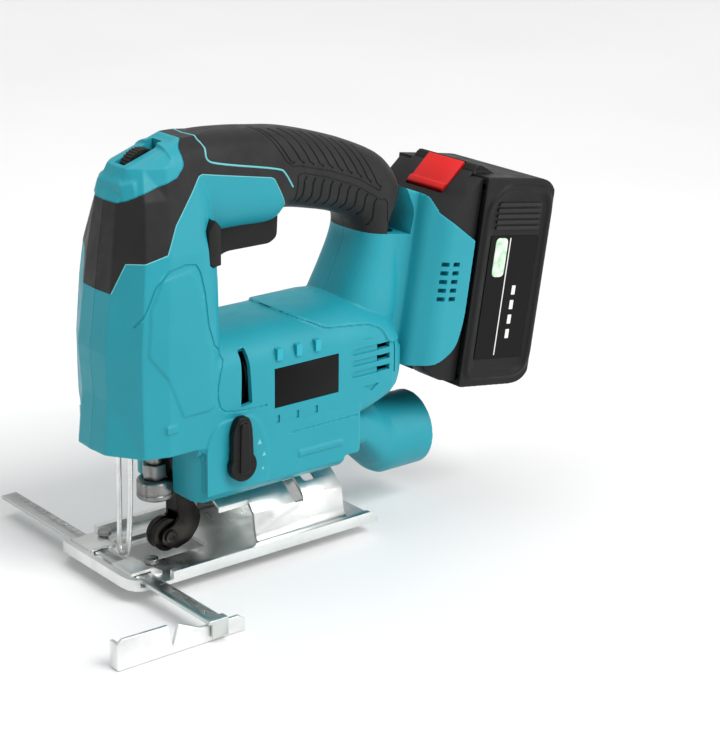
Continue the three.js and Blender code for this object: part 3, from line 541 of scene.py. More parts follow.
def gauge_look():
    """A clear gauge window with a pale green glow behind it, painted into its base colour."""
    look = Look("gauge_window", 0.12)
    # Painted glow: pale green to near white in the base colour; nothing here emits light.
    painted_glow = look.ramp(look.noise(240, 3), [
        (0.3, linear(158, 205, 158)), (0.5, linear(205, 232, 205)), (0.7, linear(236, 240, 236)),
    ])
    look.colour(painted_glow)
    look.rough(look.span(look.noise(300, 4), 0.08, 0.2))
    look.bump(look.noise(500, 2), 0.05, 0.0001)
    look.shader.inputs["Coat Weight"].default_value = 0.6
    return look.material


LOOK = make_looks()


# ---------- body form ----------
def catmull(rows, steps):
    """Rows of numbers with more rows between them on a smooth curve."""
    out = []
    count = len(rows)
    for i in range(count - 1):
        p0, p1 = rows[max(i - 1, 0)], rows[i]
        p2, p3 = rows[i + 1], rows[min(i + 2, count - 1)]
        for k in range(steps):
            t = k / steps
            out.append([
                0.5 * ((2 * b) + (c - a) * t + (2 * a - 5 * b + 4 * c - d) * t * t
                       + (3 * b - a - 3 * c + d) * t ** 3)
                for a, b, c, d in zip(p0, p1, p2, p3)
            ])
    out.append(list(rows[-1]))
    return out


def mirrored(half):
    """Half a ring, from the middle plane round to it again, with its other half."""
    return half + [(x, -y, z) for x, y, z in reversed(half) if y > 0.01]


def soft_polygon(ring, rounds=2):
    """Corner cutting on a closed ring of points."""
    points = [Vector(p) for p in ring]
    for _ in range(rounds):
        fresh = []
        for i, p in enumerate(points):
            q = points[(i + 1) % len(points)]
            fresh += [p * 0.75 + q * 0.25, p * 0.25 + q * 0.75]
        points = fresh
    return [tuple(p) for p in points]


def middle_of(ring):
    return sum((Vector(p) for p in ring), Vector()) / len(ring)


def inset_rings(rings, wall):
    """The rings moved a wall's thickness inwards, and the end ones along the body too."""
    out = []
    last = len(rings) - 1
    for i, ring in enumerate(rings):
        middle = middle_of(ring)
        inner = []
        for p in ring:
            arm = Vector(p) - middle
            length = arm.length
            inner.append(middle + arm * (max(0.1, length - wall) / length))
        if i in (0, last):
            near = rings[1 if i == 0 else last - 1]
            inward = (middle_of(near) - middle).normalized() * wall
            inner = [p + inward for p in inner]
        out.append([tuple(p) for p in inner])
    return out


HEAD_LEVELS = [
    # z, front x, face half, chamfer x, chamfer y, side x, side y
    (64.5, 36.5, 12, 24.5, 29, 12, 33),
    (92, 33.5, 12, 25, 29.5, 12, 33),
    (116, 34.8, 12, 25, 29.5, 12, 33),
    (145, 30.8, 12, 22.5, 29, 10, 32),
    (163, 28.5, 11.3, 20.5, 27.5, 8, 30),
    (189, 24.3, 9.5, 16, 21, 4, 23),
    (203.5, 17.5, 8.5, 12, 14, 2, 18.5),
    (210, -1.5, 8, -4, 12, -9, 14),
    (214.3, -11, 7, -12.4, 9, -14, 10),
]
HEAD_BACK = -27
HEAD_ARC_START = -11
HEAD_ARC_STEPS = 7


def head_rings():
    rings = []
    for z, front, face, corner_x, corner_y, side_x, side_y in HEAD_LEVELS:
        start = min(side_x - 3, HEAD_ARC_START)
        half = [
            (front + 0.8, 0, z), (front, face, z), (corner_x, corner_y, z), (side_x, side_y, z),
            (start, side_y, z),
        ]
        for k in range(1, HEAD_ARC_STEPS):
            a = pi / 2 * k / HEAD_ARC_STEPS
            x = start + (HEAD_BACK - start) * sin(a)
            half.append((x, side_y * (0.3 + 0.7 * cos(a)), z))
        half += [(HEAD_BACK, side_y * 0.26, z), (HEAD_BACK, 0, z)]
        rings.append(mirrored(half))
    return rings


MOTOR_STATIONS = [
    # x, top, bottom, half width
    (-5.2, 117.5, 58, 33), (-60, 117.5, 58, 33), (-104, 117.5, 58, 33), (-112, 116.6, 60, 33),
    (-120, 114.2, 62.6, 33), (-127, 111.5, 65, 32.6), (-132, 108.2, 68, 31.2),
    (-135, 105, 71, 29.2), (-137, 101.4, 75, 26.5),
]


def motor_rings():
    rings = []
    for x, top, bottom, half in MOTOR_STATIONS:
        section = [
            (0, bottom), (half - 7, bottom), (half - 2, bottom + 2), (half, bottom + 7),
            (half, bottom + 20), (half, top - 18), (half - 1.8, top - 11), (half - 8, top - 4.6),
            (half - 17, top - 0.6), (0, top + 0.4),
        ]
        rings.append(soft_polygon(mirrored([(x, y, z) for y, z in section])))
    return rings


HANDLE_STATIONS = [
    # outer x and z, inner x and z, half width
    (-2, 212.5, -6, 172, 20), (-26, 214.6, -26, 165.5, 20), (-46, 213.8, -47, 164.5, 19.5),
    (-62, 212, -66, 164.2, 19), (-79, 209.6, -73, 169.5, 18.6), (-100, 204, -93, 166, 18.3),
    (-120, 197, -109, 161.5, 18.3), (-138, 187.5, -118, 156.5, 18.8),
    (-147.5, 173, -120, 149, 19.3),
    (-150, 155, -117, 140, 20), (-148, 135, -111, 127, 22), (-145, 112, -104, 113, 24.5),
    (-140, 95, -98, 98, 25),
]
HANDLE_POWER = 0.74  # below 1 for a section squarer than an ellipse


def squared(value, power):
    """A sine or cosine with its sign kept and its size raised to a power."""
    return copysign(abs(value) ** power, value)


def handle_rings(count=56, steps=4):
    rings = []
    for outer_x, outer_z, inner_x, inner_z, half in catmull(HANDLE_STATIONS, steps):
        ring = []
        for a in turns(count):
            t = (1 + squared(cos(a), HANDLE_POWER)) / 2
            x, z = inner_x + (outer_x - inner_x) * t, inner_z + (outer_z - inner_z) * t
            ring.append((x, squared(sin(a), HANDLE_POWER) * half, z))
        rings.append(ring)
    return rings


FOOT_SIDE = [
    (0, 24), (0, -18.5, 6), (3, -34, 8), (14, -42, 8), (29, -44), (44, -40), (46, 30), (40, 49),
    (29, 46.5, 2), (23.7, 38), (18.5, 34.5),
]
FOOT_PLAN = [
    (-1, -37.5), (19, -37.5, 5), (29.5, -29, 4), (31, -22), (46, -19), (46, 19), (31, 22),
    (29.5, 29, 4), (19, 37.5, 5), (-1, 37.5),
]


def foot_form():
    """The battery's foot, seen from the side and from above on the battery's own axes."""
    side = tilted_prism("foot", rounded(FOOT_SIDE, 8), -37.5, 37.5)
    plan = prism("plan", rounded(FOOT_PLAN, 6), -THROUGH, THROUGH, "z", True)
    return common(side, plan)


def lower_form(inset):
    """The box under the motor, or the hollow that far inside it."""
    side = prism("lower", rounded([
        (-5 - inset, 66), (-5 - inset, 34 + inset, 2), (-96 + inset, 34 + inset),
        (-96 + inset, 40 + inset), (-106 + inset, 40 + inset, 2), (-106 + inset, 66),
    ]), -40, 40, "y")
    section = prism("section", [
        (-33 + inset, 70), (-33 + inset, 38 + inset), (-29 + inset, 34 + inset),
        (29 - inset, 34 + inset), (33 - inset, 38 + inset), (33 - inset, 70),
    ], -107, -4, "x")
    plan = prism("plan", rounded([
        (-5 - inset, -24 + inset, 5), (-12 - inset, -33 + inset, 5), (-107, -33 + inset),
        (-107, 33 - inset), (-12 - inset, 33 - inset, 5), (-5 - inset, 24 - inset, 5),
    ]), 30, 66, "z")
    return common(side, section, plan)


GRIP_ZONE = rounded([
    (45, 145), (30.5, 145.5), (25.5, 160.5), (9, 164.5), (2, 177), (-16.5, 198, 3), (-61, 189.5, 3),
    (-69.5, 174), (-76, 160), (-110, 152.5), (-146.5, 147.5), (-149, 160, 4), (-138, 189.5, 4),
    (-128, 205), (-90, 230), (-14.5, 230), (-14.5, 216, 3), (-8.6, 210.5, 2), (-8.6, 203, 3),
    (-3, 198.2), (15.5, 192.7), (24, 188.2), (45, 185.5),
])
CAP_ZONE = rounded([
    (45, 185.9), (24, 188.6), (15.5, 193.1), (-2.8, 198.6, 2), (-8.2, 203.3, 3), (-8.2, 210.4, 2),
    (-14.1, 216, 3), (-14.1, 230), (45, 230),
])
PANEL_ZONE = rounded([
    (21.5, 117), (19.5, 140), (12.5, 153, 2), (-3.6, 155.5, 3), (-6.6, 150, 3), (-10, 120, 4),
    (-15, 111, 3), (-13.5, 84, 4), (4, 84), (12, 104),
], 6)
COVER_ZONE = rounded([
    (-57, 131), (-62, 122), (-83, 112), (-86, 110.6, 1), (-112, 108, 3), (-121, 104, 4),
    (-124, 96, 3), (-150, 96), (-150, 140), (-57, 140),
], 5)


def dial_rim(half, lift, shrink):
    """One outline of the raised seat round the thumbwheel, along the cap's slope."""
    front, back = (22.6 - shrink, 198.2), (-11.2 + shrink, 210.6)
    corner = 4.5
    corners = [
        (front, -half + corner), (front, half - corner),
        ((front[0] - corner, front[1] + 1.6), half),
        ((back[0] + corner, back[1] - 1.6), half), (back, half - corner), (back, -half + corner),
        ((back[0] + corner, back[1] - 1.6), -half), ((front[0] - corner, front[1] + 1.6), -half),
    ]
    return [(x, y, z + lift) for (x, z), y in corners]


PLATE_FACE = 33.9
SKIN_VOXEL = 0.65
TOP_SPARE = 0.0002  # metres that the skin stays below the top of the CAD


def body_form():
    """The whole outer skin as one smooth closed mesh."""
    head = loft("head", head_rings())
    motor = loft("motor", motor_rings())
    handle = loft("handle", handle_rings())
    cover = common(
        loft("cover", inset_rings(motor_rings(), -1.4)),
        prism("zone", COVER_ZONE, -THROUGH, THROUGH),
    )
    lever_plate = prism("plate", rounded([
        (-9, 39), (-46, 39, 1), (-46, 58, 4), (-40, 76, 10), (-16, 76, 10), (-9, 66, 6),
    ], 8), 32, PLATE_FACE)
    strips = []
    for side in (1, -1):
        span = outward(side, 31, PLATE_FACE)
        strips.append(block("strip", (-94, -66), span, (47, 49.6)))
        strips.append(block("strip", (8, 14), span, (77, 80.5)))
    panel = common(
        loft("panel", inset_rings(head_rings(), -0.8)),
        prism("zone", PANEL_ZONE, -THROUGH, THROUGH),
    )
    seat = loft("seat", [dial_rim(17.5, -9, 0), dial_rim(14.2, -2.2, 0), dial_rim(8.4, 1.8, 3.2)])
    body = add(
        head, motor, handle, foot_form(), lower_form(0), cover, panel, lever_plate, *strips, seat,
    )
    remesh(body, SKIN_VOXEL, 2)
    top = CAD_BOX[1][2] - TOP_SPARE
    for vertex in body.data.vertices:
        vertex.co.z = min(vertex.co.z, top)
    return body


def drop(tree, start, way, lift):
    """The point where a ray meets the skin, raised by `lift`, in a list that may be empty."""
    hit, normal, _, _ = tree.ray_cast(start, way)
    if hit is None:
        return []
    hit = hit + normal * lift / PER_METRE
    return [(hit.x * PER_METRE - BLADE_TO_CENTRE, hit.y * PER_METRE, hit.z * PER_METRE)]


def surface_path(tree, points, side, step=1.0, lift=0.0):
    """Points in XZ dropped onto the body's side, in millimetres."""
    path = []
    for (x0, z0), (x1, z1) in zip(points, points[1:]):
        length = hypot(x1 - x0, z1 - z0)
        for k in range(max(1, int(length / step))):
            t = k * step / length
            path.append((x0 + (x1 - x0) * t, z0 + (z1 - z0) * t))
    path.append(points[-1])
    out = []
    for x, z in path:
        out += drop(tree, Vector(place((x, side * 90, z))), Vector((0, -side, 0)), lift)
    return out


def smooth_line(points, rounds=2):
    """Corner cutting on an open line that keeps its ends."""
    for _ in range(rounds):
        fresh = [points[0]]
        for (ax, az), (bx, bz) in zip(points, points[1:]):
            fresh.append((ax * 0.75 + bx * 0.25, az * 0.75 + bz * 0.25))
            fresh.append((ax * 0.25 + bx * 0.75, az * 0.25 + bz * 0.75))
        points = fresh + [points[-1]]
    return points


def groove_cutters(tree):
    """Seams and creases of the teal shell, as thin tubes on its surface."""
    lines = [
        ([(26, 131), (14, 156), (-5, 159.4), (-9, 152), (-12.5, 118), (-22.5, 110), (-16.5, 98),
          (-16.2, 85), (-22, 79.6), (-46, 79)], 0.6),
        ([(-60, 61), (-104, 61)], 0.55),
        ([(-5.5, 64.3), (-9, 60), (-9, 40)], 0.3),
    ]
    cutters = []
    for points, radius in lines:
        for side in (1, -1):
            path = surface_path(tree, smooth_line(points, 1), side, 0.8)
            cutters.append(tube("groove", path, radius, 8))
    return cutters


BAR_PLACES = (-52, -64, -76)


def vent_cutters():
    """Vents, notches and marks, cut from both sides into the teal shell."""
    cutters = []
    for side in (1, -1):
        deep, shallow = outward(side, 26), outward(side, 32.2)
        slot = rounded([(-30, 81, 1), (-37, 82, 1), (-35.5, 110, 1), (-31, 109.5, 1)], 3)
        cutters.append(prism("vent", slot, *deep))
        for z in (81.5, 87.5, 93.5):
            cutters.append(block("vent", (-125, -117), deep, (z, z + 3)))
            trough = rounded([
                (-99, z + 1.5), (-101, z - 0.2, 1), (-117.5, z - 0.2), (-117.5, z + 3.2),
                (-101, z + 3.2, 1),
            ], 4)
            cutters.append(prism("trough", trough, *outward(side, 32.1)))
        for x in BAR_PLACES:
            cutters.append(block("notch", (x - 2, x), shallow, (68, 72)))
        for z, height in ((100.5, 3.4), (75.5, -3.4)):
            cutters.append(prism("mark", [(-108, z), (-118, z), (-113, z + height)], *shallow))
        cutters.append(block("slit", (-129.2, -128.3), outward(side, 24), (79, 96)))
        for x in (9, 16):
            for row in range(5):
                z = -8 + row * 4.6
                opening = rectangle((x, x + 4.5), (z, z + 2.4), 0.6, 3)
                cutters.append(tilted_prism("foot_vent", opening, *outward(side, 33.5)))
    return cutters


def raised_bars():
    """The short bars above the label."""
    bars = []
    for side in (1, -1):
        for x in BAR_PLACES:
            outline = [(x, 101, 0.6), (x - 3.4, 101, 0.6), (x - 3.4, 107, 0.8), (x, 107, 0.8)]
            bars.append(prism("bar", rounded(outline, 3), *outward(side, 30.5, 33.7)))
    return bars


HEAD_WALL, MOTOR_WALL, HANDLE_WALL, LOWER_WALL = 4.6, 3.0, 4.8, 2.8


def body_cutters():
    """Everything that the shell leaves room for."""
    return [
        loft("cavity", inset_rings(head_rings()[:7], HEAD_WALL)),
        loft("cavity", inset_rings(motor_rings(), MOTOR_WALL)),
        loft("cavity", inset_rings(handle_rings(32, 2), HANDLE_WALL)),
        lower_form(LOWER_WALL),
        block("channel", (-2, 22), (-33.2, 33.2), (-70, 70), True),
        block("window", (-31, -4.9), (-9, 9), (30, 70)),
        axle("dial_well", DIAL, (-4.4, 4.4), 11.3),
        prism("dial_mouth", [(-6.5, 207), (11, 198), (17, 205), (12, 212), (-5, 218)], -4.4, 4.4),
        block("trigger_slot", (-72, -29), (-9, 9), (160, 182)),
        axle("pin_hole", TRIGGER_PIN, (-12.2, 12.2), 1.8),
        lock_form(0.3, 10, THROUGH),
        rod("plunger_hole", (0, 0, 60), (0, 0, 76), 8),
        block("port_mouth", (-112, -100), (-20, 20), (44.5, 56)),
        block("label_pocket", (-91.3, -50.7), (31.6, 36), (76, 96.8)),
        axle("cam_hole", LEVER, (29, 40), 4.3),
        rod("bolt_hole", (-72, 0, 30), (-72, 0, 44), 3.3),
        *[rod("wire_hole", (17.6, y, 60), (17.6, y, 78), 1.7, 20) for y in (5.5, -5.5)],
    ]


def lock_form(spare, low, high):
    """The lock bar's outline with some room round it."""
    return prism("lock_bar", [
        (-14.6 + spare, 156 - spare), (-17, 154 - spare), (-21.6 - spare, 154.6 - spare),
        (-21.6 - spare, 173.6 + spare), (-18.6, 177 + 1.4 * spare), (-14.6 + spare, 172 + spare),
    ], low, high)


# Centres in XZ: two through the head's front, the rest through the hollow shell.
SCREWS = [(24, 80), (12, 176), (-92, 188), (-134, 132), (-112, 106), (-112, 71), (-47, 50)]
BOSSES = [SCREWS[0], *SCREWS[3:]]
SEAM = 0.1  # half the gap between the teal shell and the black grip or the cap
HALF_GAP = 0.12  # from the middle plane to either half


def side_block(side):
    return block("half", (-300, 120), outward(side, HALF_GAP, 90), (-60, 260))


def spread_foot():
    """The battery's foot with a little room, which the grip leaves free."""
    return tilted_prism("foot", grown(rounded(FOOT_SIDE, 8), 0.25), -37.8, 37.8)


def shell_room():
    """The hollow of the shell with its screw bosses left standing and their holes."""
    first, *others = body_cutters()
    room = add(first, *others)
    cut(room, *[axle("boss", centre, (-28, 20), 4.8, 24) for centre in BOSSES])
    wells = [axle("well", centre, (-50, -14.5), 3.7, 32) for centre in SCREWS]
    bores = [axle("bore", centre, (-16, 12), 1.8, 20) for centre in SCREWS]
    return add(room, *wells, *bores)


def zone_prism(points, by):
    return prism("zone", grown(points, by), -THROUGH, THROUGH)


def finish_halves(form, name, slot, look, degrees=32):
    """Splits a form down the middle into its left and right pieces."""
    for side, hand in ((1, "left"), (-1, "right")):
        half = common(copy(form, f"{name}_{hand}_fine"), side_block(side))
        finish_piece(shade(half, degrees), "housing", slot, look, f"{name}_{hand}")
    discard(form)


def build_body():
    form = body_form()
    tree = BVHTree.FromObject(form, bpy.context.evaluated_depsgraph_get())
    grip_form = copy(form, "grip_form")
    cap_form = copy(form, "top_cap_fine")
    room = shell_room()

    add(form, *raised_bars())
    cut(form, room, keep=True)
    cut(form, zone_prism(GRIP_ZONE, SEAM), zone_prism(CAP_ZONE, SEAM))
    cut(form, *vent_cutters())
    cut(form, *groove_cutters(tree))
    finish_halves(form, "housing", "housing_teal", "teal")

    common(grip_form, zone_prism(GRIP_ZONE, -SEAM))
    cut(grip_form, room, keep=True)
    cut(grip_form, *grip_grooves(tree))
    cut(grip_form, spread_foot())
    finish_halves(grip_form, "grip", "grip_black", "grip", 38)

    common(cap_form, zone_prism(CAP_ZONE, -SEAM))
    cut(cap_form, room)
    finish_piece(shade(cap_form), "housing", "housing_teal", "teal", "top_cap")
    # Pale teal tubes along the grip's edge and over the handle's crest: painted highlight lines.
    for i, (path, radius) in enumerate(painted_highlight_lines(tree)):
        line = tube(f"inlay_{i + 1}", path, radius, 8)
        finish_piece(shade(line, 60), "housing", "housing_teal", "mark_and_painted_highlight")


def handle_middle(x):
    """Height of the handle's centre line at a place along it."""
    rows = [(row[0] + row[2], row[1] + row[3]) for row in HANDLE_STATIONS[:8]]
    for (x0, z0), (x1, z1) in zip(rows, rows[1:]):
        if x1 <= 2 * x <= x0:
            return (z0 + (z1 - z0) * (2 * x - x0) / (x1 - x0)) / 2
    return rows[-1][1] / 2 if 2 * x < rows[-1][0] else rows[0][1] / 2


MM_PER_DEGREE = 0.33  # round the handle's section
RAY_START = 0.08


def round_path(tree, points, side, lift=0.0, step=0.9):
    """Points (x, degrees up from the side) dropped onto the handle all round its section."""
    out = []
    for (x0, a0), (x1, a1) in zip(points, points[1:]):
        steps = max(2, int(hypot(x1 - x0, MM_PER_DEGREE * (a1 - a0)) / step))
        for k in range(steps + (points[-1] == (x1, a1))):
            x, a = x0 + (x1 - x0) * k / steps, radians(a0 + (a1 - a0) * k / steps)
            away = Vector((0, side * cos(a), sin(a)))
            start = Vector(place((x, 0, handle_middle(x)))) + away * RAY_START
            out += drop(tree, start, -away, lift)
    return out


def grip_grooves(tree):
    """The two textured patches on each side of the handle, with their outlines."""
    lines = []
    for k in range(10):
        x = -60 - 6.1 * k
        rib = [(x, 78 - 2 * k), (x - 9.5, 30 - k), (x - 11.5, 20 - k), (x - 14, 17 - k)]
        lines.append((rib, 0.6))
    lines.append(([(-56, 84), (-69, 22), (-73, 12), (-128, 2), (-129, 10)], 0.5))
    for k in range(9):
        x = -80 - 5.6 * k
        lines.append(([(x - 1.5, -4 - k), (x, -12 - k), (x, -34 - k), (x + 2, -46 - k)], 0.7))
    lines.append(([(-76, -44), (-76, -4), (-79, 1), (-131, -12), (-133, -18), (-133, -40)], 0.45))
    cutters = []
    for side in (1, -1):
        for points, radius in lines:
            path = round_path(tree, points, side)
            if len(path) > 4:
                cutters.append(tube("groove", path, radius, 6))
    return cutters


def painted_highlight_lines(tree):
    """Paths and radii of the paler lines that paint highlights: over the handle's crest, and along
    the grip's front.
    """
    crest = [(-19.6, 90), (-20.6, 72), (-21.6, 60)]
    line = [(-22.4, 209), (-21, 204), (-26, 201.5), (-65, 193.5), (-68, 191), (-73, 183)]
    rim = [
        (30.5, 145.5), (25.5, 160.5), (9, 164.5), (2, 177), (-14.5, 195.7), (-16, 197.1),
        (-17.8, 197.7), (-59.2, 189.8), (-61, 188.9), (-62, 187.3), (-69.5, 174),
    ]
    paths = []
    for side in (1, -1):
        low = surface_path(tree, smooth_line(line, 2), side, 1.0, -0.2)
        paths.append((round_path(tree, crest, side, -0.28, 0.4) + low, 0.55))
        paths.append((surface_path(tree, rim, side, 1.0, -0.12), 0.32))
    return paths


build_body()


# ---------- controls ----------
def polish(node, body, slot, look, width=0.3, segments=2, degrees=34):
    """A CAD node's shape with its edges rounded."""
    piece = copy(NODES[node], f"{node}_fine")
    bevel(piece, width, segments, degrees)
    return finish_piece(shade(piece, 36), body, slot, look, node)


def dial_rim_teeth(radius=10.5, depth=0.45, points=180):
    """The thumbwheel's outline: two points low, three high, all the way round."""
    teeth = []
    for i in range(points):
        a = 2 * pi * i / points
        r = radius - (depth if i % 5 in (0, 1) else 0)
        teeth.append((DIAL[0] + r * cos(a), DIAL[1] + r * sin(a)))
    return teeth


def build_controls():
    polish("trigger", "trigger", "black_plastic", "black", 1.2, 4, 30)
    polish("lock_button", "lock_button", "black_plastic", "black", 0.5, 3)
    polish("label_plate", "housing", "label_black", "label", 0.2)
    dial = prism("speed_dial_fine", dial_rim_teeth(), -3.4, 3.4)
    add(dial, axle("stub", DIAL, (-4.1, 4.1), 2))
    finish_piece(shade(dial, 40), "speed_dial", "black_plastic", "black", "speed_dial")
    build_lever()


def build_lever():
    arm = rounded([
        (-34.2, 50), (-33.2, 72, 3), (-31.2, 78, 4), (-25, 78, 4), (-21.9, 72, 3), (-21.2, 50),
    ], 6)
    ridge = rounded([(-31, 49, 2), (-30.2, 75, 2.5), (-25.4, 75, 2.5), (-24.6, 49, 2)], 6)
    back, face = 34.3, 38.4
    lever = prism("orbital_lever_fine", arm, back, face)
    add(lever, axle("hub", LEVER, (back, face), 7.8, 64), prism("ridge", ridge, 36, 40))
    remesh(lever, 0.35, 3)
    finish_piece(shade(lever, 60), "orbital", "black_plastic", "lever", "orbital_lever")
    polish("orbital_cam", "orbital", "steel_bright", "steel")
    reach = 15.5
    for k in range(4):
        a = radians(200 - 28 * k)
        x, z = LEVER[0] + reach * cos(a), LEVER[1] + reach * sin(a)
        size = 0.9 + 0.25 * k
        triangle = [(x - size, z - size), (x + size, z - size), (x, z + size)]
        mark = prism(f"lever_mark_{k + 1}", triangle, 33.6, 34.0)
        finish_piece(shade(mark), "housing", "housing_teal", "mark_and_painted_highlight")


build_controls()


# ---------- drive, clamp, roller and shoe ----------
WORKS = [
    # CAD nodes, body, slot, look, edge radius
    (["motor_can", "front_bearing", "rear_bearing", "gear_axle", "bevel_bolt"],
     "housing", "steel_bright", "steel", 0.3),
    (["motor_shaft", "pinion"], "rotor", "steel_bright", "steel", 0.15),
    (["bevel_plate"], "housing", "steel_bright", "steel", 0.2),
    (["rotor_core"], "rotor", "steel_black", "dark", 0.4),
    (["commutator"], "rotor", "copper", "copper", 0.3),
    (["cooling_fan"], "rotor", "black_plastic", "black", 0.15),
    (["drive_gear"], "drive_gear", "steel_bright", "steel", 0.12),
    (["gear_case"], "housing", "aluminium_cast", "cast", 0.5),
    (["brush_left", "brush_right", "lower_bush", "upper_bush"], "housing", "copper", "copper", 0.2),
    (["motor_end_cap", "switch_module", "terminal_block"],
     "housing", "black_plastic", "black", 0.3),
    (["speed_board"], "housing", "board_green", "board", 0.1),
    ([f"housing_screw_{i}" for i in range(1, 8)], "housing", "steel_black", "dark", 0.2),
    (["bar_screw_left", "bar_screw_right"], "shoe", "steel_black", "steel", 0.3),
    (["plunger"], "plunger", "steel_bright", "steel", 0.3),
]
COLLAR_PROFILE = [
    (5.3, 0), (8.0, 0), (8.8, 0.4), (9.3, 1.1), (9.3, 3.0), (9.05, 3.3), (9.05, 3.8), (9.3, 4.1),
    (9.3, 9.4), (8.8, 10.2), (8.2, 10.6), (6.4, 10.6), (6.0, 10.1), (5.3, 10.1),
]
ROLLER_PROFILE = [
    (2.1, -3.9), (3.6, -3.9), (3.9, -3.5), (6.0, -3.5), (6.4, -3.9), (8.0, -3.9), (8.55, -3.6),
    (8.7, -3.1), (8.6, -1.5), (7.9, -0.9), (7.5, 0), (7.9, 0.9), (8.6, 1.5), (8.7, 3.1),
    (8.55, 3.6), (8.0, 3.9), (6.4, 3.9), (6.0, 3.5), (3.9, 3.5), (3.6, 3.9), (2.1, 3.9),
]
GUARD_LEG = [
    (17.6, 5.5, 76), (17.65, 5.45, 64), (17.7, 5.4, 53), (18.1, 5.05, 36), (18.6, 4.6, 20),
    (19.2, 4.2, 12), (19.4, 4, 8.5), (19.45, 3.5, 6.8), (19.5, 2.4, 5.4), (19.5, 1.2, 4.75),
]


def build_works():
    pin = axle("trigger_pin_fine", TRIGGER_PIN, (-12, 12), 1.5, 32)
    bevel(pin, 0.3, 2)
    finish_piece(shade(pin), "housing", "steel_bright", "steel", "trigger_pin")
    for nodes, body, slot, look, width in WORKS:
        for node in nodes:
            polish(node, body, slot, look, width)
    polish("clamp_body", "plunger", "steel_black", "steel", 0.4, 3)
    polish("roller_holder", "holder", "steel_black", "dark", 0.7, 3, 30)
    polish("roller_screw", "holder", "steel_bright", "dark", 0.25)
    collar = lathe("clamp_collar_fine", COLLAR_PROFILE, (0, 0, 30.4), (0, 0, 1), 96)
    finish_piece(shade(collar, 30), "clamp_collar", "steel_bright", "steel", "clamp_collar")
    roller = lathe("guide_roller_fine", ROLLER_PROFILE, (-5, 0, 9.2), (0, 1, 0), 72)
    finish_piece(shade(roller, 30), "guide_roller", "steel_black", "dark", "guide_roller")
    other_leg = [(x, -y, z) for x, y, z in reversed(GUARD_LEG)]
    path = catmull([*GUARD_LEG, (19.5, 0, 4.6), *other_leg], 4)
    wire = tube("guard_wire_fine", path, 1.4, 20)
    finish_piece(shade(wire, 60), "housing", "zinc_sheet", "zinc", "guard_wire")


def build_shoe():
    polish("shoe_plate", "shoe", "zinc_sheet", "zinc", 0.9, 3, 40)
    outline = rounded([(13, -21, 2.4), (13, -16, 2.4), (-21, -16, 2.4), (-21, -21, 2.4)], 6)
    bead = prism("shoe_bead", outline, 1.2, 3.6, "z")
    bevel(bead, 0.9, 3, 30)
    finish_piece(shade(bead, 60), "shoe", "zinc_sheet", "zinc")
    build_saddle()
    build_guide()


def arc(radius, limit=54, count=40):
    """Points over the top of the saddle, from one side to the other."""
    turns = [radians(-limit + 2 * limit * i / count) for i in range(count + 1)]
    return [(radius * sin(a), radius * cos(a)) for a in turns]


def build_saddle():
    """The folded bracket over the shoe: one section, with a narrow nose and a rail in front."""
    radius, foot, sheet = 31.5, 28, 2
    outer = rounded([(-33, 2.3), (-33, 4.3), (-foot - 1, 4.4, 2), (-27.2, 7, 3)] + arc(radius)
                    + [(27.2, 7, 3), (foot + 1, 4.4, 2), (33, 4.3), (33, 2.3)], 5)
    inner = rounded([(foot, 2.3), (foot - 0.5, 3), (25.2, 7.5, 2)] + arc(radius - sheet)[::-1]
                    + [(-25.2, 7.5, 2), (-foot + 0.5, 3), (-foot, 2.3)], 5)
    section = outer + inner
    saddle = prism("saddle_fine", section, -100, -43, "x")
    nose = common(
        prism("nose", section, -44, -25, "x"),
        block("trim", (-50, 0), (-20, 20), (10, 40)),
    )
    rail = common(
        prism("rail", [(-15, 25.5), (15, 25.5), (15, 27.6), (-15, 27.6)], -44, -25, "x"),
        rod("trim", (-60, 0, 0), (0, 0, 0), 31),
    )
    add(saddle, nose, rail)
    slot = prism("slot", rectangle((-75.8, -68.2), (-26, 26), 3.5, 6), 18, 40, "z")
    notch = prism("notch", rectangle((-88, -80), (6, 19), 2, 5), 10, 40, "z")
    cut(saddle, slot, notch)
    bevel(saddle, 0.35, 2, 40)
    finish_piece(shade(saddle, 40), "shoe", "zinc_sheet", "zinc", "saddle_bracket")


def build_guide():
    """The parallel guide: a bar with strokes every 5 mm, except under the shoe, and its fence."""
    bar = copy(NODES["guide_bar"], "guide_bar_fine")
    bevel(bar, 0.35, 3, 40)
    strokes = []
    for i in range(37):
        y = -98 + i * 5
        if not -30 < y < 30:
            reach = 24.2 if i % 2 else 25.6
            strokes.append(block("stroke", (22.3, reach), (y - 0.18, y + 0.18), (4.22, 5)))
    cut(bar, *strokes)
    finish_piece(shade(bar, 40), "guide", "zinc_sheet", "zinc_bar", "guide_bar")
    polish("fence", "guide", "zinc_sheet", "fence", 0.5, 3, 30)


build_works()
build_shoe()


# ---------- dust port ----------
CASE_VOXEL = 0.6


def soft_ring(x, half_y, low, high, power, count=72):
    """A ring across X between two heights: round at power 1, squarer below it."""
    middle, half_z = (low + high) / 2, (high - low) / 2
    ring = []
    for a in turns(count):
        across, upward = squared(cos(a), power), squared(sin(a), power)
        ring.append((x, across * half_y, middle + upward * half_z))
    return ring


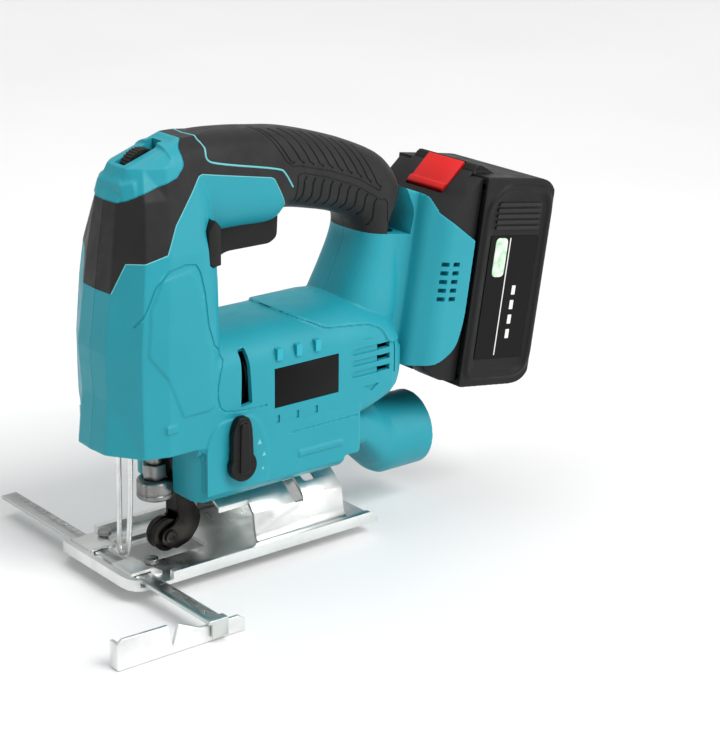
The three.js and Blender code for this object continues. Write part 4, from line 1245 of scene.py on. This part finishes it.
def port_rings(wall, over):
    """The port's rings from its mouth to its end, inset by a wall and longer by `over`."""
    rows = [
        # x, half width, bottom, top, squareness
        [-107 + over, 24 - wall, 40.2 + wall, 57.4 - wall, 0.35],
        [-111, 23.8 - wall, 38.8 + wall, 57.2 - wall, 0.4],
        [-118, 23 - wall, 36 + wall, 57.0 - wall, 0.5],
        [-131, 21.5 - wall, 19 + wall, 54 - wall, 0.8],
        [-137, 20.6 - wall, 12.6 + wall, 51.8 - wall, 0.95],
        [-141, 20.5 - wall, 10.5 + wall, 51.5 - wall, 1.0],
        [-154, 20.5 - wall, 10.5 + wall, 51.5 - wall, 1.0],
        [-167 - over, 20.5 - wall, 10.5 + wall, 51.5 - wall, 1.0],
    ]
    return [soft_ring(*row) for row in rows]


def build_port():
    port = loft("dust_port_fine", port_rings(0, 0))
    add(port, block("plug", (-110, -100.5), (-19.4, 19.4), (45.2, 55.3)))
    inside = loft("inside", port_rings(2.2, 0.5))
    cut(inside, block("trim", (-108.5, -100), (-30, 30), (0, 80)))
    cut(port, inside, block("duct", (-112, -99), (-17.6, 17.6), (47, 53.6)))
    remesh(port, CASE_VOXEL, 3)
    finish_piece(shade(port, 40), "dust_port", "housing_teal", "teal", "dust_port")


build_port()


# ---------- battery ----------
CASE_HALF = 37.5
FRONT_HALF = 32.7


def build_battery():
    build_case()
    build_battery_label()
    build_front()
    build_button()
    polish("cell_pack", "battery", "cell_grey", "case", 0.4)


def build_case():
    side = rounded([(-4, -56, 2), (-55, -56, 15), (-55, 56.5, 14), (-22, 57.1), (-4, 57.1)], 8)
    plan = rounded([(0, -CASE_HALF), (-55, -CASE_HALF, 6), (-55, CASE_HALF, 6), (0, CASE_HALF)], 6)
    hump = rounded([(-24, 55), (-10, 61.3, 2), (-7, 61.5, 1), (-4, 58.1), (-4, 55)], 4)
    rim = [(-7.8, -50, 5), (-51, -50, 12), (-51, 51.5, 12), (-18, 51.5, 5), (-7.8, 42, 6)]
    panel = rounded([
        (-11.2, -46.6, 4), (-47.6, -46.6, 8), (-47.6, 48, 8), (-19.5, 48, 4), (-11.2, 40, 4),
    ], 6)
    case = tilted_prism("battery_case_fine", side, -36.4, 36.4)
    common(case, prism("plan", plan, -70, 70, "z", True))
    add(case, tilted_prism("hump", hump, -24, 24))
    for s in (1, -1):
        add(case, tube("frame", [(x, s * 34.5, z) for x, z in rounded(rim, 8)], 3, 16, True, True))
        cut(case, tilted_prism("panel", panel, *outward(s, 36.0)))
    cut(case, block("hollow", (-51.8, 0), (-34.2, 34.2), (-52.6, 53.1), True), well_form())
    remesh(case, CASE_VOXEL, 2)
    for s in (1, -1):
        add(case, *side_ribs(s))
    face = (CASE_HALF - 1.55, CASE_HALF + 2)
    cut(case, block("label_room", (-46.6, -11.4), face, (-41.6, 26.6), True))
    finish_piece(shade(case, 36), "battery", "battery_black", "case", "battery_case")


def side_ribs(side, count=5, pitch=3.1):
    """The finger ribs at the top of one side; the last one is shorter."""
    ribs = []
    for k in range(count):
        z = 29.5 + k * pitch
        outline = rounded([
            (-14, z, 0.5), (-45, z, 0.5), (-45, z + 1.9, 0.8), (-14 - max(0, k - 3), z + 1.9, 0.8),
        ], 3)
        ribs.append(tilted_prism("rib", outline, *outward(side, CASE_HALF - 2.6, CASE_HALF - 0.7)))
    return ribs


def build_battery_label():
    """The blank label with a gauge window, a line and four bars on it."""
    film = tilted_prism("battery_label_fine", rectangle((-12, -46), (-41, 26), 1, 3), 36.02, 36.45)
    finish_piece(shade(film), "battery", "label_black", "label", "battery_label")
    print_back = 36.3
    window = rectangle((-15.5, -24), (4, 25), 3, 5)
    gauge = tilted_prism("battery_gauge", window, print_back, 36.85)
    bevel(gauge, 0.2, 2, 30)
    finish_piece(shade(gauge, 60), "battery", "label_black", "gauge")
    line = block("label_line", (-26.2, -25.5), (print_back, 36.52), (-39, 25), True)
    finish_piece(line, "battery", "label_black", "print")
    for k in range(4):
        z = -30 + k * 8
        outline = rectangle((-32, -34.6), (z, z + 5), 0.3, 2)
        bar = tilted_prism(f"label_bar_{k + 1}", outline, print_back, 36.5)
        finish_piece(bar, "battery", "label_black", "print")


def build_front():
    """The part that slides into the foot, with two terminal slots."""
    outline = rounded([
        (-3.7, -53, 1), (9, -52, 3), (21.4, -43, 2), (21.4, 32, 3), (6.4, 46.5, 2), (-3.7, 57.8),
    ], 5)
    flanks = [(-3.7, -60), (25, -60), (25, 40), (12, 50), (-3.7, 56)]
    crown = [(-10, -60), (25, -60), (25, 70), (-10, 70)]
    front = tilted_prism("battery_front_fine", outline, -FRONT_HALF, FRONT_HALF)
    bounds = add(
        tilted_prism("flanks", flanks, -FRONT_HALF, FRONT_HALF),
        tilted_prism("crown", crown, -24, 24),
    )
    common(front, bounds)
    slots = [block("slot", (1, 8), (y - 0.8, y + 0.8), (-80, 15), True) for y in (-11, 11)]
    cut(front, well_form(), block("terminals", (7, 30), (-17.7, 17.7), (-80, 21), True), *slots)
    bevel(front, 1.2, 3, 40)
    finish_piece(shade(front, 36), "battery", "black_plastic", "case", "battery_front")


def well_form():
    """The room that the release button moves in."""
    outline = [(-4.5, 64), (-8.3, 60.5), (-11.6, 54), (1.6, 39.8), (11, 47)]
    return tilted_prism("well", outline, -14.4, 14.4)


def build_button():
    """The red release: a sloping plate with a raised lower lip."""
    outline = rounded([
        (-5.9, 61.9, 1.2), (-8.6, 56.6), (3.7, 42.6), (8, 46.6, 1.5), (5.8, 49.4, 1),
        (4.4, 49.4, 1),
    ], 4)
    piece = tilted_prism("battery_button_fine", outline, -14, 14)
    bevel(piece, 0.6, 3, 30)
    finish_piece(shade(piece, 40), "battery_button", "battery_red", "red", "battery_button")


build_battery()


# ---------- stage, light and camera ----------
FLOOR_Z = -7.4
FLOOR_REACH = 30000


def build_stage():
    corners = [(-1, -1), (1, -1), (1, 1), (-1, 1)]
    points = [(x * FLOOR_REACH, y * FLOOR_REACH, FLOOR_Z) for x, y in corners]
    floor = obj_from("floor", points, [(0, 1, 2, 3)])
    look = Look("studio_floor", 0.6)
    look.colour(look.ramp(look.noise(3, 2), [(0.3, (0.87, 0.87, 0.87)), (0.7, (0.9, 0.9, 0.9))]))
    floor.data.materials.append(look.material)


def area_light(name, location, target, size, power):
    data = bpy.data.lights.new(name, "AREA")
    data.shape = "RECTANGLE"
    data.size, data.size_y = size
    data.energy = power
    light = bpy.data.objects.new(name, data)
    light.location = location
    way = Vector(target) - Vector(location)
    light.rotation_euler = way.to_track_quat("-Z", "Y").to_euler()
    linked(light)


def build_light():
    world = bpy.data.worlds.new("studio")
    bpy.context.scene.world = world
    world.use_nodes = True
    background = world.node_tree.nodes["Background"]
    background.inputs["Color"].default_value = (1, 1, 1, 1)
    background.inputs["Strength"].default_value = 0.55
    sun = bpy.data.lights.new("window", "SUN")
    sun.energy, sun.angle = 1.9, radians(28)
    lamp = bpy.data.objects.new("window", sun)
    lamp.rotation_euler = Vector((-0.16, 0.62, 0.76)).to_track_quat("Z", "Y").to_euler()
    linked(lamp)
    area_light("strip", (-0.75, 0.9, 0.55), (-0.03, 0, 0.1), (0.25, 1.0), 3.2)
    area_light("top", (0.05, -0.25, 1.1), (-0.03, 0, 0.15), (0.9, 0.5), 3.0)
    bpy.context.scene.view_settings.view_transform = "Standard"


CAMERA_AT = (0.5807, 0.8244, 0.4404)
CAMERA_AROUND, CAMERA_UP = radians(53), radians(20)


def build_camera():
    """A long lens from the left and in front, a little above the tool."""
    data = bpy.data.cameras.new("camera")
    data.lens = 101.4
    data.sensor_width = 36
    data.shift_x, data.shift_y = 0.105, 0.0326
    data.clip_start, data.clip_end = 0.05, 20
    camera = bpy.data.objects.new("camera", data)
    flat = cos(CAMERA_UP)
    back = Vector((flat * cos(CAMERA_AROUND), flat * sin(CAMERA_AROUND), sin(CAMERA_UP)))
    right = Vector((0, 0, 1)).cross(back).normalized()
    turn = Matrix((right, back.cross(right), back)).transposed()
    camera.matrix_world = Matrix.Translation(CAMERA_AT) @ turn.to_4x4()
    linked(camera)
    bpy.context.scene.camera = camera


build_stage()
build_light()
build_camera()
